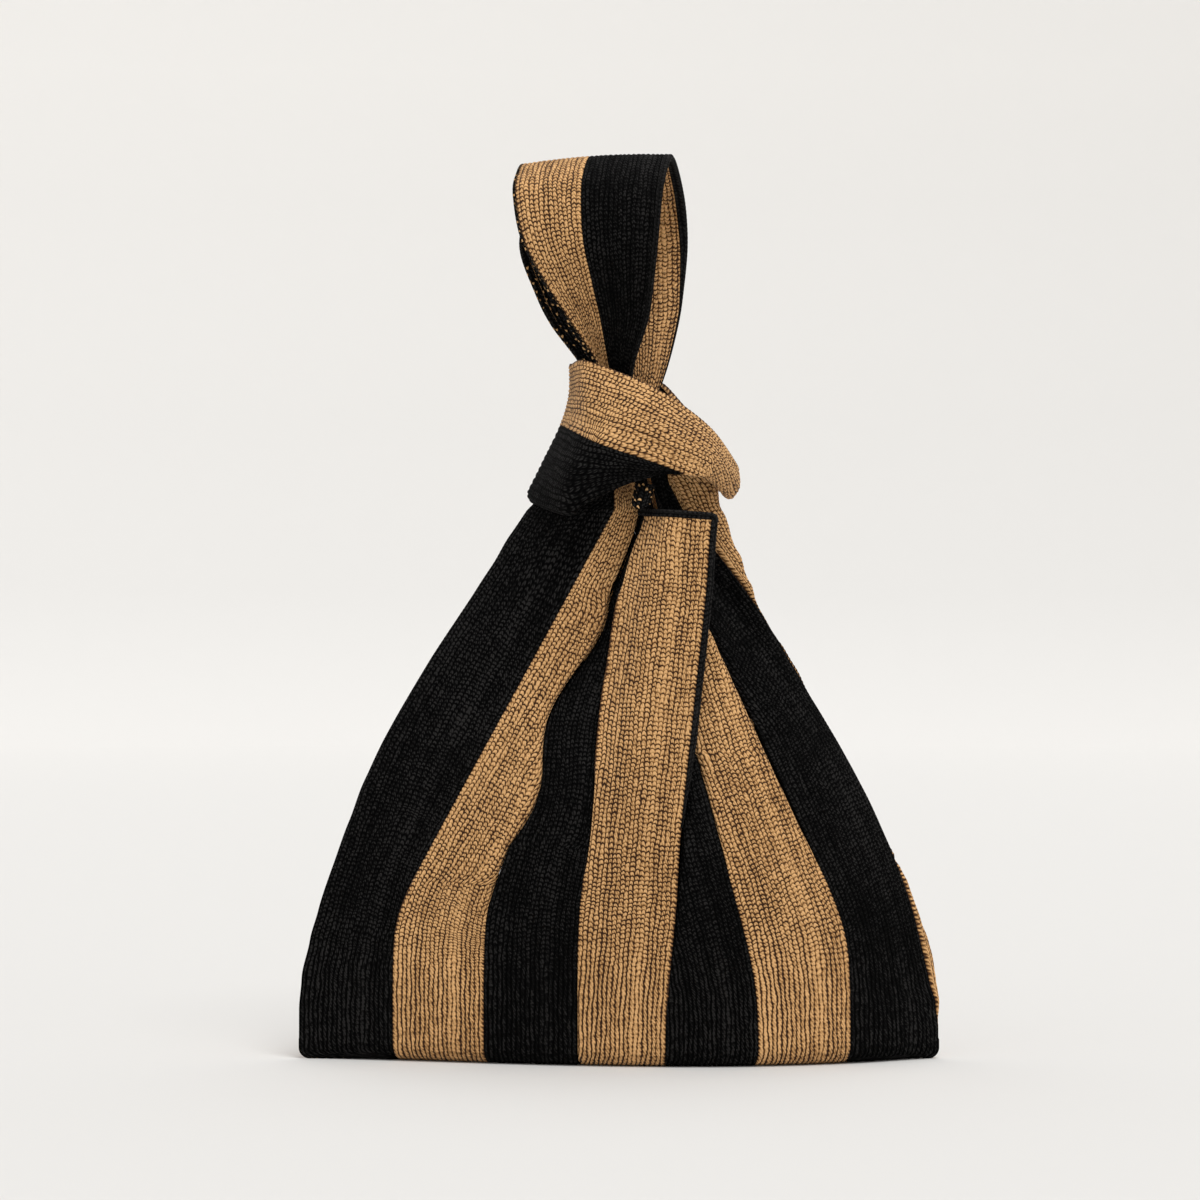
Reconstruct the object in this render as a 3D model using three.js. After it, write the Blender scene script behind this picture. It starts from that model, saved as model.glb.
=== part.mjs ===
// A knitted knot bag in broad camel and black stripes, closed by its own handles.
// Millimetres, +Z up, X to the right, the front faces -Y. The origin is on the floor,
// at the middle of the base. The long handle stands up as a wrist loop, and the short
// handle is wound once round the neck below it.

import * as THREE from "three";

// Cloth
const CLOTH = 3; // thickness of the double-faced knit
const GAP = 0.3; // clearance between two pieces that touch
const SKIN = (CLOTH - GAP) / 2; // one face of the double knit where both are modelled

// Body
const STRIPE_WIDTH = 37.14; // eighteen columns of stitches
const FRONT_STRIPES = 7;
const HALF_WIDTH = (FRONT_STRIPES * STRIPE_WIDTH) / 2;
const BASE_DEPTH = 32; // half depth of the front just above the floor
const BELLY_DEPTH = 36;
const BELLY_Z = 85; // height where the bag is deepest
const SHOULDER_Z = 223; // height where the stripes reach the knot
const SHOULDER_DEPTH = 22;
const NECK_Z = 248; // top of the cloth gathered inside the knot
const NECK_DEPTH = 11;
const RIM_HEIGHT = 8; // rounding from the side to the base
const CORNER_RADIUS = 4.5; // rounding of the two lower corners
const SEAM_HALF = 5; // half width of the seam band under the base
const SEAM_END = 33; // from the end of the opening for the seam band to the side of the bag
const SEAM_HALF_LENGTH = HALF_WIDTH - SEAM_END;
const SEAM_TIP = 3; // how far the band stops short of the end of its opening
const TURN_IN_MIN = 1; // narrowest cloth that is turned in under the base
const BULGE_SKEW = 0.24; // how far the front bulges to the right of its middle
const SHOULDER_FULLNESS = 0.6; // power of the section's outline at the shoulder, 1 at the base
const RIDGE_START_Z = 130; // height above which the right-hand ridge comes forward
const RIDGE_FORWARD = 14; // how far it has come forward at the shoulder
const CORNER_SHARE = 0.8; // share of the half width beyond which the lower corners draw in
const INWARD_LEAN = 0.15; // how much the cloth's thickness leans towards the middle of the bag
const MOUTH_BACK_Z = 226;

// Centre pleat, a flap of the front that stands proud
const PLEAT_LEFT = 3; // its left edge, in stripes
const PLEAT_LIFT = 14; // how far its hem stands in front of the cloth behind
const PLEAT_START_Z = 50;
const PLEAT_RUN = 70; // height over which it leaves the front
const PLEAT_TURN = 0.4; // width of the turn along its left edge, in stripes
const PLEAT_ROOT = 0.6; // width of the cloth beside it that is drawn forward, in stripes
const PLEAT_ROOT_SHARE = 0.3; // share of the lift at its left edge
const FOLD_START_Z = 96; // height where the fold of its right edge begins
const HEM_Z = 222; // where the camel stripe meets its black hem
const HEM_HEIGHT = 3.5;
const HEM_PROUD = 0.3; // how far a hem stands proud of each face of the cloth
const HEM_START = 0.02; // where the hem of the pleat starts, in stripes from its left edge
const FOLD_WIDTH = 2.6; // black fold along the right edge of the pleat

// Neck core, the strands gathered inside the knot
const CORE = { x: 1, halfWidth: 8, halfDepth: 6.8, bottom: 232, top: 261 };

// Wrist loop
const LOOP_SPLIT = 2; // station where the loop leaves its gathered roots
const CHAIN_WIDTH = 0.07; // share of the band in the left edge chain
const ROLL_WIDTH = 0.06; // share of the band in the rolled right edge
const ROLL_PROUD = 0.8; // how far the rolled edge stands out of the band
const BAND_CLEAR = 0.006; // half the clearance across the band, as a share of its width
const ROOT_CLEAR = 0.03; // clearance along the band over its roots, in stations
const LOOP_CENTRE_Z = 322.5; // height that the crest of the loop is rounded about

// Edges of the stripes: place at the base in stripe widths and set-off, place at the shoulder,
// height where the edge leaves the vertical, how it bends, and place at the neck. An edge that
// disappears behind the pleat has the height where it does and its place at the shoulder.
const EDGES = [
  { base: -3.5, shift: 0, shoulder: -38.2, start: 30, bend: 1.5, neck: -12 },
  { base: -2.5, shift: 1.4, shoulder: -1.6, start: 52, bend: 1, neck: -2 },
  { base: -1.5, shift: 1.2, shoulder: 7.5, start: 55, bend: 1, neck: 4 },
  { base: -0.5, shift: 1.6, shoulder: 10.5, start: 20, bend: 1.8, neck: 7 },
  { base: 0.5, shift: -0.5, shoulder: 38, start: 15, bend: 1, neck: 38 },
  { base: 1.5, shift: 0, shoulder: 3.6, start: 25, bend: 1, neck: 8, hidden: [125, 17.5] },
  { base: 2.5, shift: 0, shoulder: 15.5, start: 45, bend: 1, neck: 10, hidden: [182, 21.5] },
  { base: 3.5, shift: 0, shoulder: 25.8, start: 20, bend: 1.53, neck: 12 },
];
// Left edge of the fifth stripe, which runs in behind the pleat.
const TUCKED_EDGE = { ...EDGES[4], neck: 6, hidden: [105, 14] };
const BEHIND_EDGES = EDGES.map((edge, index) => (index === 4 ? TUCKED_EDGE : edge));
// The same for the back, from the right side to the left.
const BACK_EDGES = [
  EDGES[7],
  { base: 2.5, shift: 0, shoulder: 27, start: 35, bend: 1.2, neck: 11 },
  { base: 1.5, shift: 0, shoulder: 17, start: 30, bend: 1.1, neck: 8 },
  { base: 0.5, shift: 0, shoulder: 7, start: 20, bend: 1, neck: 5 },
  { base: -0.5, shift: 0, shoulder: -7, start: 20, bend: 1, neck: 1 },
  { base: -1.5, shift: 0, shoulder: -17, start: 30, bend: 1.1, neck: -4 },
  { base: -2.5, shift: 0, shoulder: -26, start: 35, bend: 1.2, neck: -8 },
  EDGES[0],
];
const RIPPLE = { edge: 2, depth: 4, from: 88, length: 70, to: 200 };

// How far the camel side strap stands outside the ridge of the last front stripe, by height.
const STRAP_SIDE = [
  [0, 0.4], [25, 2.4], [60, 2.4], [90, -1], [120, -4], [150, -2], [165, 0],
  [182, 1.2], [194, 6], [206, 10], [223, 15.5], [NECK_Z, 3],
];

// Wrist loop stations, from the front root over the crest to the back root:
// left edge, right edge, how far the middle stands out, and where camel turns black.
const LOOP = [
  { left: [-5, -6.5, 261.5], right: [3, -8, 261.5], crown: -1.5, turn: 0.36 },
  { left: [-8.8, -12, 281], right: [4, -15, 280], crown: -3, turn: 0.36 },
  { left: [-20, -18, 298], right: [10.5, -22, 299], crown: -3, turn: 0.41 },
  { left: [-30.5, -23, 313.5], right: [13, -27, 312], crown: -1, turn: 0.45 },
  { left: [-39, -25, 331], right: [15.2, -31, 329], crown: 1.5, turn: 0.455 },
  { left: [-42.3, -21, 350], right: [17, -28, 348], crown: 2, turn: 0.46 },
  { left: [-41.8, -11, 359.5], right: [19.3, -18, 361], crown: 2, turn: 0.46 },
  { left: [-40, -1, 363.5], right: [22, -5, 368.5], crown: 1.5, turn: 0.46 },
  { left: [-39, 9, 360], right: [24.5, 11, 363], crown: 1.5, turn: 0.46 },
  { left: [-38.5, 20, 349], right: [27.5, 25, 350], crown: 2, turn: 0.46 },
  { left: [-41.5, 24, 332], right: [28.6, 30, 333], crown: 2, turn: 0.46 },
  { left: [-35, 22, 313.5], right: [26.8, 26, 314], crown: 1, turn: 0.46 },
  { left: [-27, 18.5, 299.5], right: [24.6, 21, 300], crown: 0, turn: 0.45 },
  { left: [-13, 12, 281], right: [19.5, 13, 281], crown: -1, turn: 0.43 },
  { left: [-6, 7, 261.5], right: [12, 7.5, 261.5], crown: -1.5, turn: 0.4 },
];

// Short handle round the neck, from the left side across the front to the right and back:
// upper edge, middle of the camel, camel meets black, middle of the black, lower edge.
const WRAP = [
  [[-20, -1, 281.5], [-20, -1, 270], [-23.5, -1, 257.5], [-31, -2, 242], [-37.3, -2, 230.5]],
  [[-14.5, -18, 282.5], [-14, -25, 268], [-15, -29, 252], [-22, -32, 235], [-22, -30, 219.5]],
  [[0, -25, 277.4], [-1, -33, 262], [-4.6, -36, 247.3], [-8, -36, 236], [-9, -33, 225.5]],
  [[12, -28, 272], [12, -36, 256], [12.3, -38, 241.5], [9.5, -36, 236.5], [8, -33, 232.6]],
  [[25, -28, 264.5], [25, -36, 250], [25.8, -36, 236.5], [25, -35, 234], [24, -34, 232]],
  [[38.7, -20, 253.8], [40, -26, 243], [37, -27, 233.5], [36, -26, 231], [35, -25, 229]],
  [[48.6, -2, 239.5], [49, -2, 232], [43, -3, 226.3], [41, -3, 224], [39, -3, 222]],
  [[42, 12, 251], [46, 17, 241], [44, 19, 230], [42, 19, 225], [40, 18, 220]],
  [[24, 23, 269.5], [28, 31, 253], [29, 33, 239], [28, 30, 228], [25, 23, 218]],
  [[6, 27, 275], [6, 35, 259], [5, 37, 245], [3, 34, 233], [1, 25.5, 221]],
  [[-12, 21, 281], [-13, 29, 266], [-14, 32, 252], [-18, 31, 238], [-19, 23.5, 223.5]],
  [[-19.5, 10, 282.5], [-20, 14, 269], [-23, 15, 256], [-29, 16, 242], [-32.5, 12, 228]],
];
const BLACK_WRAP_FROM = -3.6; // station at the back where the black half of the wrap starts
const BLACK_WRAP_TO = 3.9; // station at the front where it ends in a point
const WRAP_TURN = 2; // row of the stations where camel meets black
const WRAP_CLEAR = 0.01; // half the clearance there, in rows

// Mesh fineness
const ACROSS_STRIPE = 3;
const SIDE_STEPS = 11;
const NECK_STEPS = 3;
const RIM_STEPS = 3;
const SEAM_STEPS = 24;
const HEM_STEPS = 8;
const CORE_SIDES = 20;
const LOOP_STEPS = 40;
const ROOT_STEPS = 6;
const WRAP_STEPS = 44;
const BLACK_WRAP_STEPS = 28;

const CAMEL = { color: 0xbf935c, roughness: 0.85, metalness: 0 };
const BLACK = { color: 0x161414, roughness: 0.9, metalness: 0 };

const clamp = (value, low, high) => Math.min(high, Math.max(low, value));
const mix = (a, b, t) => a + (b - a) * t;

/** Smooth step from 0 to 1. */
function ease(t) {
  const c = clamp(t, 0, 1);
  return c * c * (3 - 2 * c);
}

/** Evenly spaced values from a to b. */
function steps(a, b, count) {
  return Array.from({ length: count + 1 }, (_, i) => mix(a, b, i / count));
}

/** Catmull-Rom weights of four neighbouring values at the share t between the middle two. */
function spline(p, q, r, s, t) {
  const t2 = t * t;
  const t3 = t2 * t;
  return 0.5 * (2 * q + (r - p) * t + (2 * p - 5 * q + 4 * r - s) * t2 + (3 * q - p - 3 * r + s) * t3);
}

/** A smooth curve through a list of values at the whole numbers, open or closed. */
function through(values, at, closed = false) {
  const count = values.length;
  const cell = closed ? Math.floor(at) : clamp(Math.floor(at), 0, count - 2);
  const pick = (i) => (closed ? values[((i % count) + count) % count] : values[clamp(i, 0, count - 1)]);
  return spline(pick(cell - 1), pick(cell), pick(cell + 1), pick(cell + 2), at - cell);
}

/** The straight-line value of a table of [place, value] pairs. */
function table(pairs, at) {
  const next = pairs.findIndex(([place]) => place >= at);
  if (next === 0) return pairs[0][1];
  if (next < 0) return pairs[pairs.length - 1][1];
  const [a, from] = pairs[next - 1];
  const [b, to] = pairs[next];
  return mix(from, to, ease((at - a) / (b - a)));
}

/** Place across the bag of a stripe edge at a height. */
function edgeX(edges, index, z) {
  const edge = edges[index];
  const base = edge.base * STRIPE_WIDTH + edge.shift;
  const lean = clamp((z - edge.start) / (SHOULDER_Z - edge.start), 0, 1) ** edge.bend;
  const ripples = edges === EDGES && index === RIPPLE.edge && z > RIPPLE.from && z < RIPPLE.to;
  const ripple = ripples ? RIPPLE.depth * Math.sin((2 * Math.PI * (z - RIPPLE.from)) / RIPPLE.length) : 0;
  let shoulder = mix(base, edge.shoulder, lean) + ripple;
  if (edge.hidden && z > edge.hidden[0]) {
    const [from, place] = edge.hidden;
    const seen = mix(base, edge.shoulder, ((from - edge.start) / (SHOULDER_Z - edge.start)) ** edge.bend);
    shoulder = mix(seen, place, clamp((z - from) / (SHOULDER_Z - from), 0, 1));
  }
  return mix(shoulder, edge.neck, clamp((z - SHOULDER_Z) / (NECK_Z - SHOULDER_Z), 0, 1));
}

/** Half depth of the bag at a height. */
function halfDepth(z) {
  if (z < BELLY_Z) return mix(BASE_DEPTH, BELLY_DEPTH, ease(z / BELLY_Z));
  if (z < SHOULDER_Z) return mix(BELLY_DEPTH, SHOULDER_DEPTH, ease((z - BELLY_Z) / (SHOULDER_Z - BELLY_Z)));
  return mix(SHOULDER_DEPTH, NECK_DEPTH, clamp((z - SHOULDER_Z) / (NECK_Z - SHOULDER_Z), 0, 1));
}

/** Smooth cushion outline of the bag's section, -1 to 1 across. */
function lens(across, z) {
  const skewed = across - BULGE_SKEW * (1 - across * across);
  const fullness = mix(1, SHOULDER_FULLNESS, ease(z / SHOULDER_Z));
  return Math.max(0, 1 - skewed * skewed) ** fullness;
}

/** How far the ridge of the last front stripe lies in front of the side, by height. */
function ridgeFront(z) {
  return GAP / 2 + RIDGE_FORWARD * ease((z - RIDGE_START_Z) / (SHOULDER_Z - RIDGE_START_Z));
}

/** A point of the front's outer face without the pleat: u counts stripes from the left. */
function frontOf(edges, u, z) {
  const index = clamp(Math.floor(u), 0, FRONT_STRIPES - 1);
  const x = mix(edgeX(edges, index, z), edgeX(edges, index + 1, z), u - index);
  const left = edgeX(EDGES, 0, z);
  const right = edgeX(EDGES, FRONT_STRIPES, z);
  const across = clamp((2 * (x - left)) / (right - left) - 1, -1, 1);
  const side = mix(GAP / 2, ridgeFront(z), ease((across + 1) / 2));
  return { x, y: -side - (halfDepth(z) - side) * lens(across, z) };
}

const frontFace = (u, z) => frontOf(EDGES, u, z);
const behindPleat = (u, z) => frontOf(BEHIND_EDGES, u, z);

/** A point of the outer face of the back: u counts stripes from the right. */
function backFace(u, z) {
  const index = clamp(Math.floor(u), 0, FRONT_STRIPES - 1);
  const share = u - index;
  const left = edgeX(BACK_EDGES, FRONT_STRIPES, z);
  const right = edgeX(BACK_EDGES, 0, z) + Math.max(0, table(STRAP_SIDE, z));
  const x = mix(edgeX(BACK_EDGES, index, z), edgeX(BACK_EDGES, index + 1, z), share);
  const across = clamp((2 * (x - left)) / (right - left) - 1, -1, 1);
  const plain = GAP / 2 + (halfDepth(z) - GAP / 2) * lens(-across, z);
  if (index > 0) return { x, y: plain };
  // The first back stripe starts on the ridge at the front and turns round the side.
  const round = Math.sin(Math.PI * Math.sqrt(share)) * table(STRAP_SIDE, z);
  return { x: x + round, y: mix(-ridgeFront(z) + GAP, plain, share) };
}

/** How far the centre pleat stands proud at a place on the front. */
function pleatLift(u, z) {
  const rise = ease((z - PLEAT_START_Z) / (HEM_Z - PLEAT_START_Z));
  const beside = clamp((u - PLEAT_LEFT) / PLEAT_ROOT + 1, 0, 1) * PLEAT_ROOT_SHARE;
  const over = mix(PLEAT_ROOT_SHARE, 1, ease((u - PLEAT_LEFT) / PLEAT_TURN));
  const share = u <= PLEAT_LEFT ? beside : over;
  const proud = halfDepth(z) + PLEAT_LIFT * rise + frontFace(u, z).y;
  return proud * share * ease((z - PLEAT_START_Z) / PLEAT_RUN);
}

/** Unit vector from the outer face into the bag. */
function inward(point, z) {
  const middle = (edgeX(EDGES, 0, z) + edgeX(EDGES, FRONT_STRIPES, z)) / 2;
  const deep = -Math.sign(point.y) * Math.max(0, Math.abs(point.y) - GAP / 2);
  return new THREE.Vector3((middle - point.x) * INWARD_LEAN, deep, 0).normalize();
}

/** Half width of the opening left for the seam band under the base. */
function seamHalf(x) {
  return SEAM_HALF * Math.sqrt(Math.max(0, 1 - (x / SEAM_HALF_LENGTH) ** 2));
}

/** How much the lower corners draw in at a height. */
function cornerDraw(z) {
  const drop = clamp((CORNER_RADIUS - z) / CORNER_RADIUS, 0, 1);
  return CORNER_RADIUS * (1 - Math.sqrt(1 - drop * drop));
}

/**
 * The outer face of the cloth and the way into it. v from 0 to 1 runs under the base from the
 * seam to the rim, from 1 to 2 up the rim, and above 2 it is the height over the rim.
 */
function bodyCloth(face, lift, u, v) {
  const z = v > 2 ? RIM_HEIGHT + v - 2 : RIM_HEIGHT;
  const flat = face(u, z);
  const inside = inward(flat, z);
  const raised = lift ? lift(u, z) : 0;
  if (v >= 2) return { point: new THREE.Vector3(flat.x, flat.y - raised, z), inside };
  const sign = Math.sign(flat.y) || -1;
  const seam = seamHalf(flat.x) + GAP;
  const depth = Math.max(Math.abs(flat.y), seam);
  const rim = Math.min(RIM_HEIGHT, depth - seam);
  const angle = (clamp(v - 1, 0, 1) * Math.PI) / 2;
  const height = RIM_HEIGHT * (1 - Math.cos(angle));
  const reach = v < 1 ? mix(seam, depth - rim, v) : depth - rim * (1 - Math.sin(angle));
  const nearSide = ease((Math.abs(flat.x) / HALF_WIDTH - CORNER_SHARE) / (1 - CORNER_SHARE));
  const drawn = Math.sign(flat.x) * cornerDraw(height) * nearSide;
  const up = new THREE.Vector3(0, 0, 1).multiplyScalar(Math.cos(angle));
  return {
    point: new THREE.Vector3(flat.x - drawn, sign * reach, height),
    inside: up.addScaledVector(inside, Math.sin(angle)).normalize(),
  };
}

/** A closed solid from two grids of points of one size, the outer and the inner face. */
function solidBetween(outer, inner, closed = false) {
  const rows = outer.length;
  const columns = outer[0].length;
  const flat = [...outer.flat(), ...inner.flat()];
  const at = (layer, i, j) => layer * rows * columns + (i % rows) * columns + j;
  const faces = [];
  const quad = (a, b, c, d) => faces.push(a, b, c, a, c, d);
  const lastRow = closed ? rows : rows - 1;
  for (let i = 0; i < lastRow; i += 1) {
    for (let j = 0; j < columns - 1; j += 1) {
      quad(at(0, i, j), at(0, i + 1, j), at(0, i + 1, j + 1), at(0, i, j + 1));
      quad(at(1, i, j), at(1, i, j + 1), at(1, i + 1, j + 1), at(1, i + 1, j));
    }
    quad(at(0, i, 0), at(1, i, 0), at(1, i + 1, 0), at(0, i + 1, 0));
    quad(at(1, i + 1, columns - 1), at(1, i, columns - 1), at(0, i, columns - 1), at(0, i + 1, columns - 1));
  }
  for (let j = 0; j < columns - 1 && !closed; j += 1) {
    quad(at(0, 0, j), at(0, 0, j + 1), at(1, 0, j + 1), at(1, 0, j));
    quad(at(1, rows - 1, j), at(1, rows - 1, j + 1), at(0, rows - 1, j + 1), at(0, rows - 1, j));
  }
  const geometry = new THREE.BufferGeometry();
  geometry.setAttribute("position", new THREE.Float32BufferAttribute(flat.flatMap((p) => p.toArray()), 3));
  geometry.setIndex(faces);
  if (volume(geometry) < 0) {
    geometry.setIndex(faces.map((_, i) => faces[i - (i % 3) + [0, 2, 1][i % 3]]));
  }
  geometry.computeVertexNormals();
  return geometry;
}

/** Signed volume of a closed indexed geometry. */
function volume(geometry) {
  const p = geometry.getAttribute("position");
  const index = geometry.index.array;
  const corner = (i) => new THREE.Vector3().fromBufferAttribute(p, index[i]);
  let total = 0;
  for (let i = 0; i < index.length; i += 3) {
    total += corner(i).dot(corner(i + 1).cross(corner(i + 2))) / 6;
  }
  return total;
}

/** Outward unit normal of a surface function, by small differences. */
function normalAt(surface, s, w) {
  const small = 1e-3;
  const along = surface(s + small, w).sub(surface(s - small, w));
  const across = surface(s, w + small).sub(surface(s, w - small));
  return across.cross(along).normalize();
}

/** A band of cloth on a surface function, between two depths below its outer face. */
function band(surface, rows, columns, near, far, closed = false) {
  const layer = (depth) =>
    rows.map((s) =>
      columns(s).map((w) => surface(s, w).addScaledVector(normalAt(surface, s, w), -depth)),
    );
  return solidBetween(layer(near), layer(far), closed);
}

/** A named mesh in one of the two yarns. */
function piece(name, geometry, yarn) {
  const mesh = new THREE.Mesh(geometry, new THREE.MeshStandardMaterial(yarn));
  mesh.name = name;
  return mesh;
}

/** Heights above the rim at which the cloth of a stripe is sampled. */
function heights(top) {
  const side = steps(0, Math.min(top, HEM_Z) - RIM_HEIGHT, SIDE_STEPS);
  const neck = top > HEM_Z ? steps(HEM_Z, top, NECK_STEPS).slice(1).map((z) => z - RIM_HEIGHT) : [];
  return [...side, ...neck].map((h) => h + 2);
}

/** One stripe of cloth between two of its rows, with half the clearance taken off each edge. */
function stripe(face, lift, index, levels) {
  const shares = steps(0, 1, ACROSS_STRIPE);
  const direction = face === backFace ? -1 : 1;
  const outer = [];
  const inner = [];
  for (const v of levels) {
    const row = shares.map((share) => {
      const { point, inside } = bodyCloth(face, lift, index + share, v);
      const trim = share === 0 ? GAP / 2 : share === 1 ? -GAP / 2 : 0;
      point.x += direction * trim;
      return [point, point.clone().addScaledVector(inside, CLOTH)];
    });
    outer.push(row.map(([a]) => a));
    inner.push(row.map(([, b]) => b));
  }
  return solidBetween(outer, inner);
}

/** The cloth that turns under the base, from the seam band to the rim, on one side. */
function turnIn(face) {
  const room = (u) => {
    const flat = face(u, RIM_HEIGHT);
    return Math.abs(flat.y) - RIM_HEIGHT - seamHalf(flat.x) - GAP;
  };
  const us = steps(0, FRONT_STRIPES, FRONT_STRIPES * ACROSS_STRIPE).filter((u) => room(u) > TURN_IN_MIN);
  const outer = [];
  const inner = [];
  for (const u of us) {
    const row = [0, 0.5, 1].map((v) => bodyCloth(face, null, u, v).point);
    const sign = Math.sign(row[2].y);
    row[2].y -= sign * GAP;
    row[1].y = (row[0].y + row[2].y) / 2;
    outer.push(row);
    inner.push(row.map((p) => p.clone().setZ(CLOTH)));
  }
  return solidBetween(outer, inner);
}

/** The flat band that covers the seam along the middle of the base. */
function seamBand() {
  const half = SEAM_HALF_LENGTH - SEAM_TIP;
  const outline = new THREE.Shape();
  const xs = steps(-half, half, SEAM_STEPS);
  outline.setFromPoints([
    ...xs.map((x) => new THREE.Vector2(x, -seamHalf(x))),
    ...xs.slice().reverse().map((x) => new THREE.Vector2(x, seamHalf(x))),
  ]);
  return new THREE.ExtrudeGeometry(outline, { depth: CLOTH, bevelEnabled: false });
}

/** The pleat's right edge at a height, and how far back its fold reaches. */
function pleatEdge(z) {
  const front = bodyCloth(frontFace, pleatLift, PLEAT_LEFT + 1, z - RIM_HEIGHT + 2).point;
  return { x: front.x, front: front.y, behind: -halfDepth(z) - GAP };
}

/** The black fold of cloth down the free right edge of the pleat. */
function pleatFold() {
  const levels = steps(FOLD_START_Z, HEM_Z, SIDE_STEPS);
  const wall = (x) => levels.map((z) => {
    const edge = pleatEdge(z);
    return [
      new THREE.Vector3(edge.x + x, edge.front, z),
      new THREE.Vector3(edge.x + x, edge.behind, z),
    ];
  });
  return solidBetween(wall(GAP), wall(GAP + FOLD_WIDTH));
}

/** The black hem over the top of the pleat, round its right end. */
function pleatHem() {
  const us = steps(PLEAT_LEFT + HEM_START, PLEAT_LEFT + 1, HEM_STEPS);
  const row = (z) => us.map((u) => {
    const top = bodyCloth(frontFace, pleatLift, u, HEM_Z - RIM_HEIGHT + 2).point;
    const past = u === PLEAT_LEFT + 1 ? FOLD_WIDTH + GAP : 0;
    return new THREE.Vector3(top.x + past, top.y - HEM_PROUD, z);
  });
  const layer = (depth) => [HEM_Z + GAP, HEM_Z + GAP + HEM_HEIGHT].map((z) =>
    row(z).map((p) => p.clone().setY(p.y + depth)),
  );
  return solidBetween(layer(0), layer(CLOTH + 2 * HEM_PROUD));
}

/** The hem along the top of the three middle stripes of the back. */
function backHem() {
  const us = steps(2, 5, HEM_STEPS + 1);
  const layer = (depth) => [MOUTH_BACK_Z + GAP, MOUTH_BACK_Z + GAP + HEM_HEIGHT].map((z) =>
    us.map((u) => {
      const { point, inside } = bodyCloth(backFace, null, u, z - RIM_HEIGHT + 2);
      return point.addScaledVector(inside, depth);
    }),
  );
  return solidBetween(layer(-HEM_PROUD), layer(CLOTH + HEM_PROUD));
}

/** The strands gathered inside the knot. */
function neckCore() {
  const geometry = new THREE.CylinderGeometry(1, 1, CORE.top - CORE.bottom, CORE_SIDES, 1);
  geometry.rotateX(Math.PI / 2);
  geometry.scale(CORE.halfWidth, CORE.halfDepth, 1);
  geometry.translate(CORE.x, 0, (CORE.top + CORE.bottom) / 2);
  return geometry;
}

/** Outer face of the wrist loop: s counts stations from the front root, w runs left to right. */
function loopFace(s, w) {
  const read = (pick) => through(LOOP.map(pick), s);
  const edge = (side) => new THREE.Vector3(...[0, 1, 2].map((axis) => read((station) => station[side][axis])));
  const left = edge("left");
  const right = edge("right");
  const point = left.clone().lerp(right, w);
  const middle = left.add(right).multiplyScalar(0.5);
  const out = new THREE.Vector3(0, middle.y, Math.max(0, middle.z - LOOP_CENTRE_Z)).normalize();
  return point.addScaledVector(out, read((station) => station.crown) * 4 * w * (1 - w));
}

/** Where camel turns black across the loop at a station. */
const loopTurn = (s) => through(LOOP.map((station) => station.turn), s);

/** Outer face of the short handle: s counts stations round the neck, w runs down its width. */
function wrapFace(s, w) {
  const point = [0, 1, 2].map((axis) =>
    through([0, 1, 2, 3, 4].map((row) => through(WRAP.map((station) => station[row][axis]), s, true)), w),
  );
  return new THREE.Vector3(...point);
}

/** All stripes of the front and the back, with the turned-in base and the hems. */
function body() {
  const group = new THREE.Group();
  const rim = steps(1, 2, RIM_STEPS).slice(0, -1);
  for (let index = 0; index < FRONT_STRIPES; index += 1) {
    const inMouth = index >= 2 && index <= 4;
    const levels = [...rim, ...heights(inMouth ? HEM_Z : NECK_Z)];
    const yarn = index % 2 ? CAMEL : BLACK;
    const behind = index > 3;
    const cloth = stripe(behind ? behindPleat : frontFace, behind ? null : pleatLift, index, levels);
    group.add(piece(`front_stripe_${index + 1}`, cloth, yarn));
  }
  for (let index = 0; index < FRONT_STRIPES; index += 1) {
    const inMouth = index >= 2 && index <= 4;
    const levels = [...rim, ...heights(inMouth ? MOUTH_BACK_Z : NECK_Z)];
    const yarn = index % 2 ? BLACK : CAMEL;
    group.add(piece(`back_stripe_${index + 8}`, stripe(backFace, null, index, levels), yarn));
  }
  group.add(piece("base_turn_in_front", turnIn(frontFace), BLACK));
  group.add(piece("base_turn_in_back", turnIn(backFace), BLACK));
  group.add(piece("base_seam_band", seamBand(), BLACK));
  group.add(piece("pleat_fold", pleatFold(), BLACK));
  group.add(piece("pleat_hem", pleatHem(), BLACK));
  group.add(piece("back_hem", backHem(), BLACK));
  group.add(piece("neck_core", neckCore(), BLACK));
  return group;
}

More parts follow.
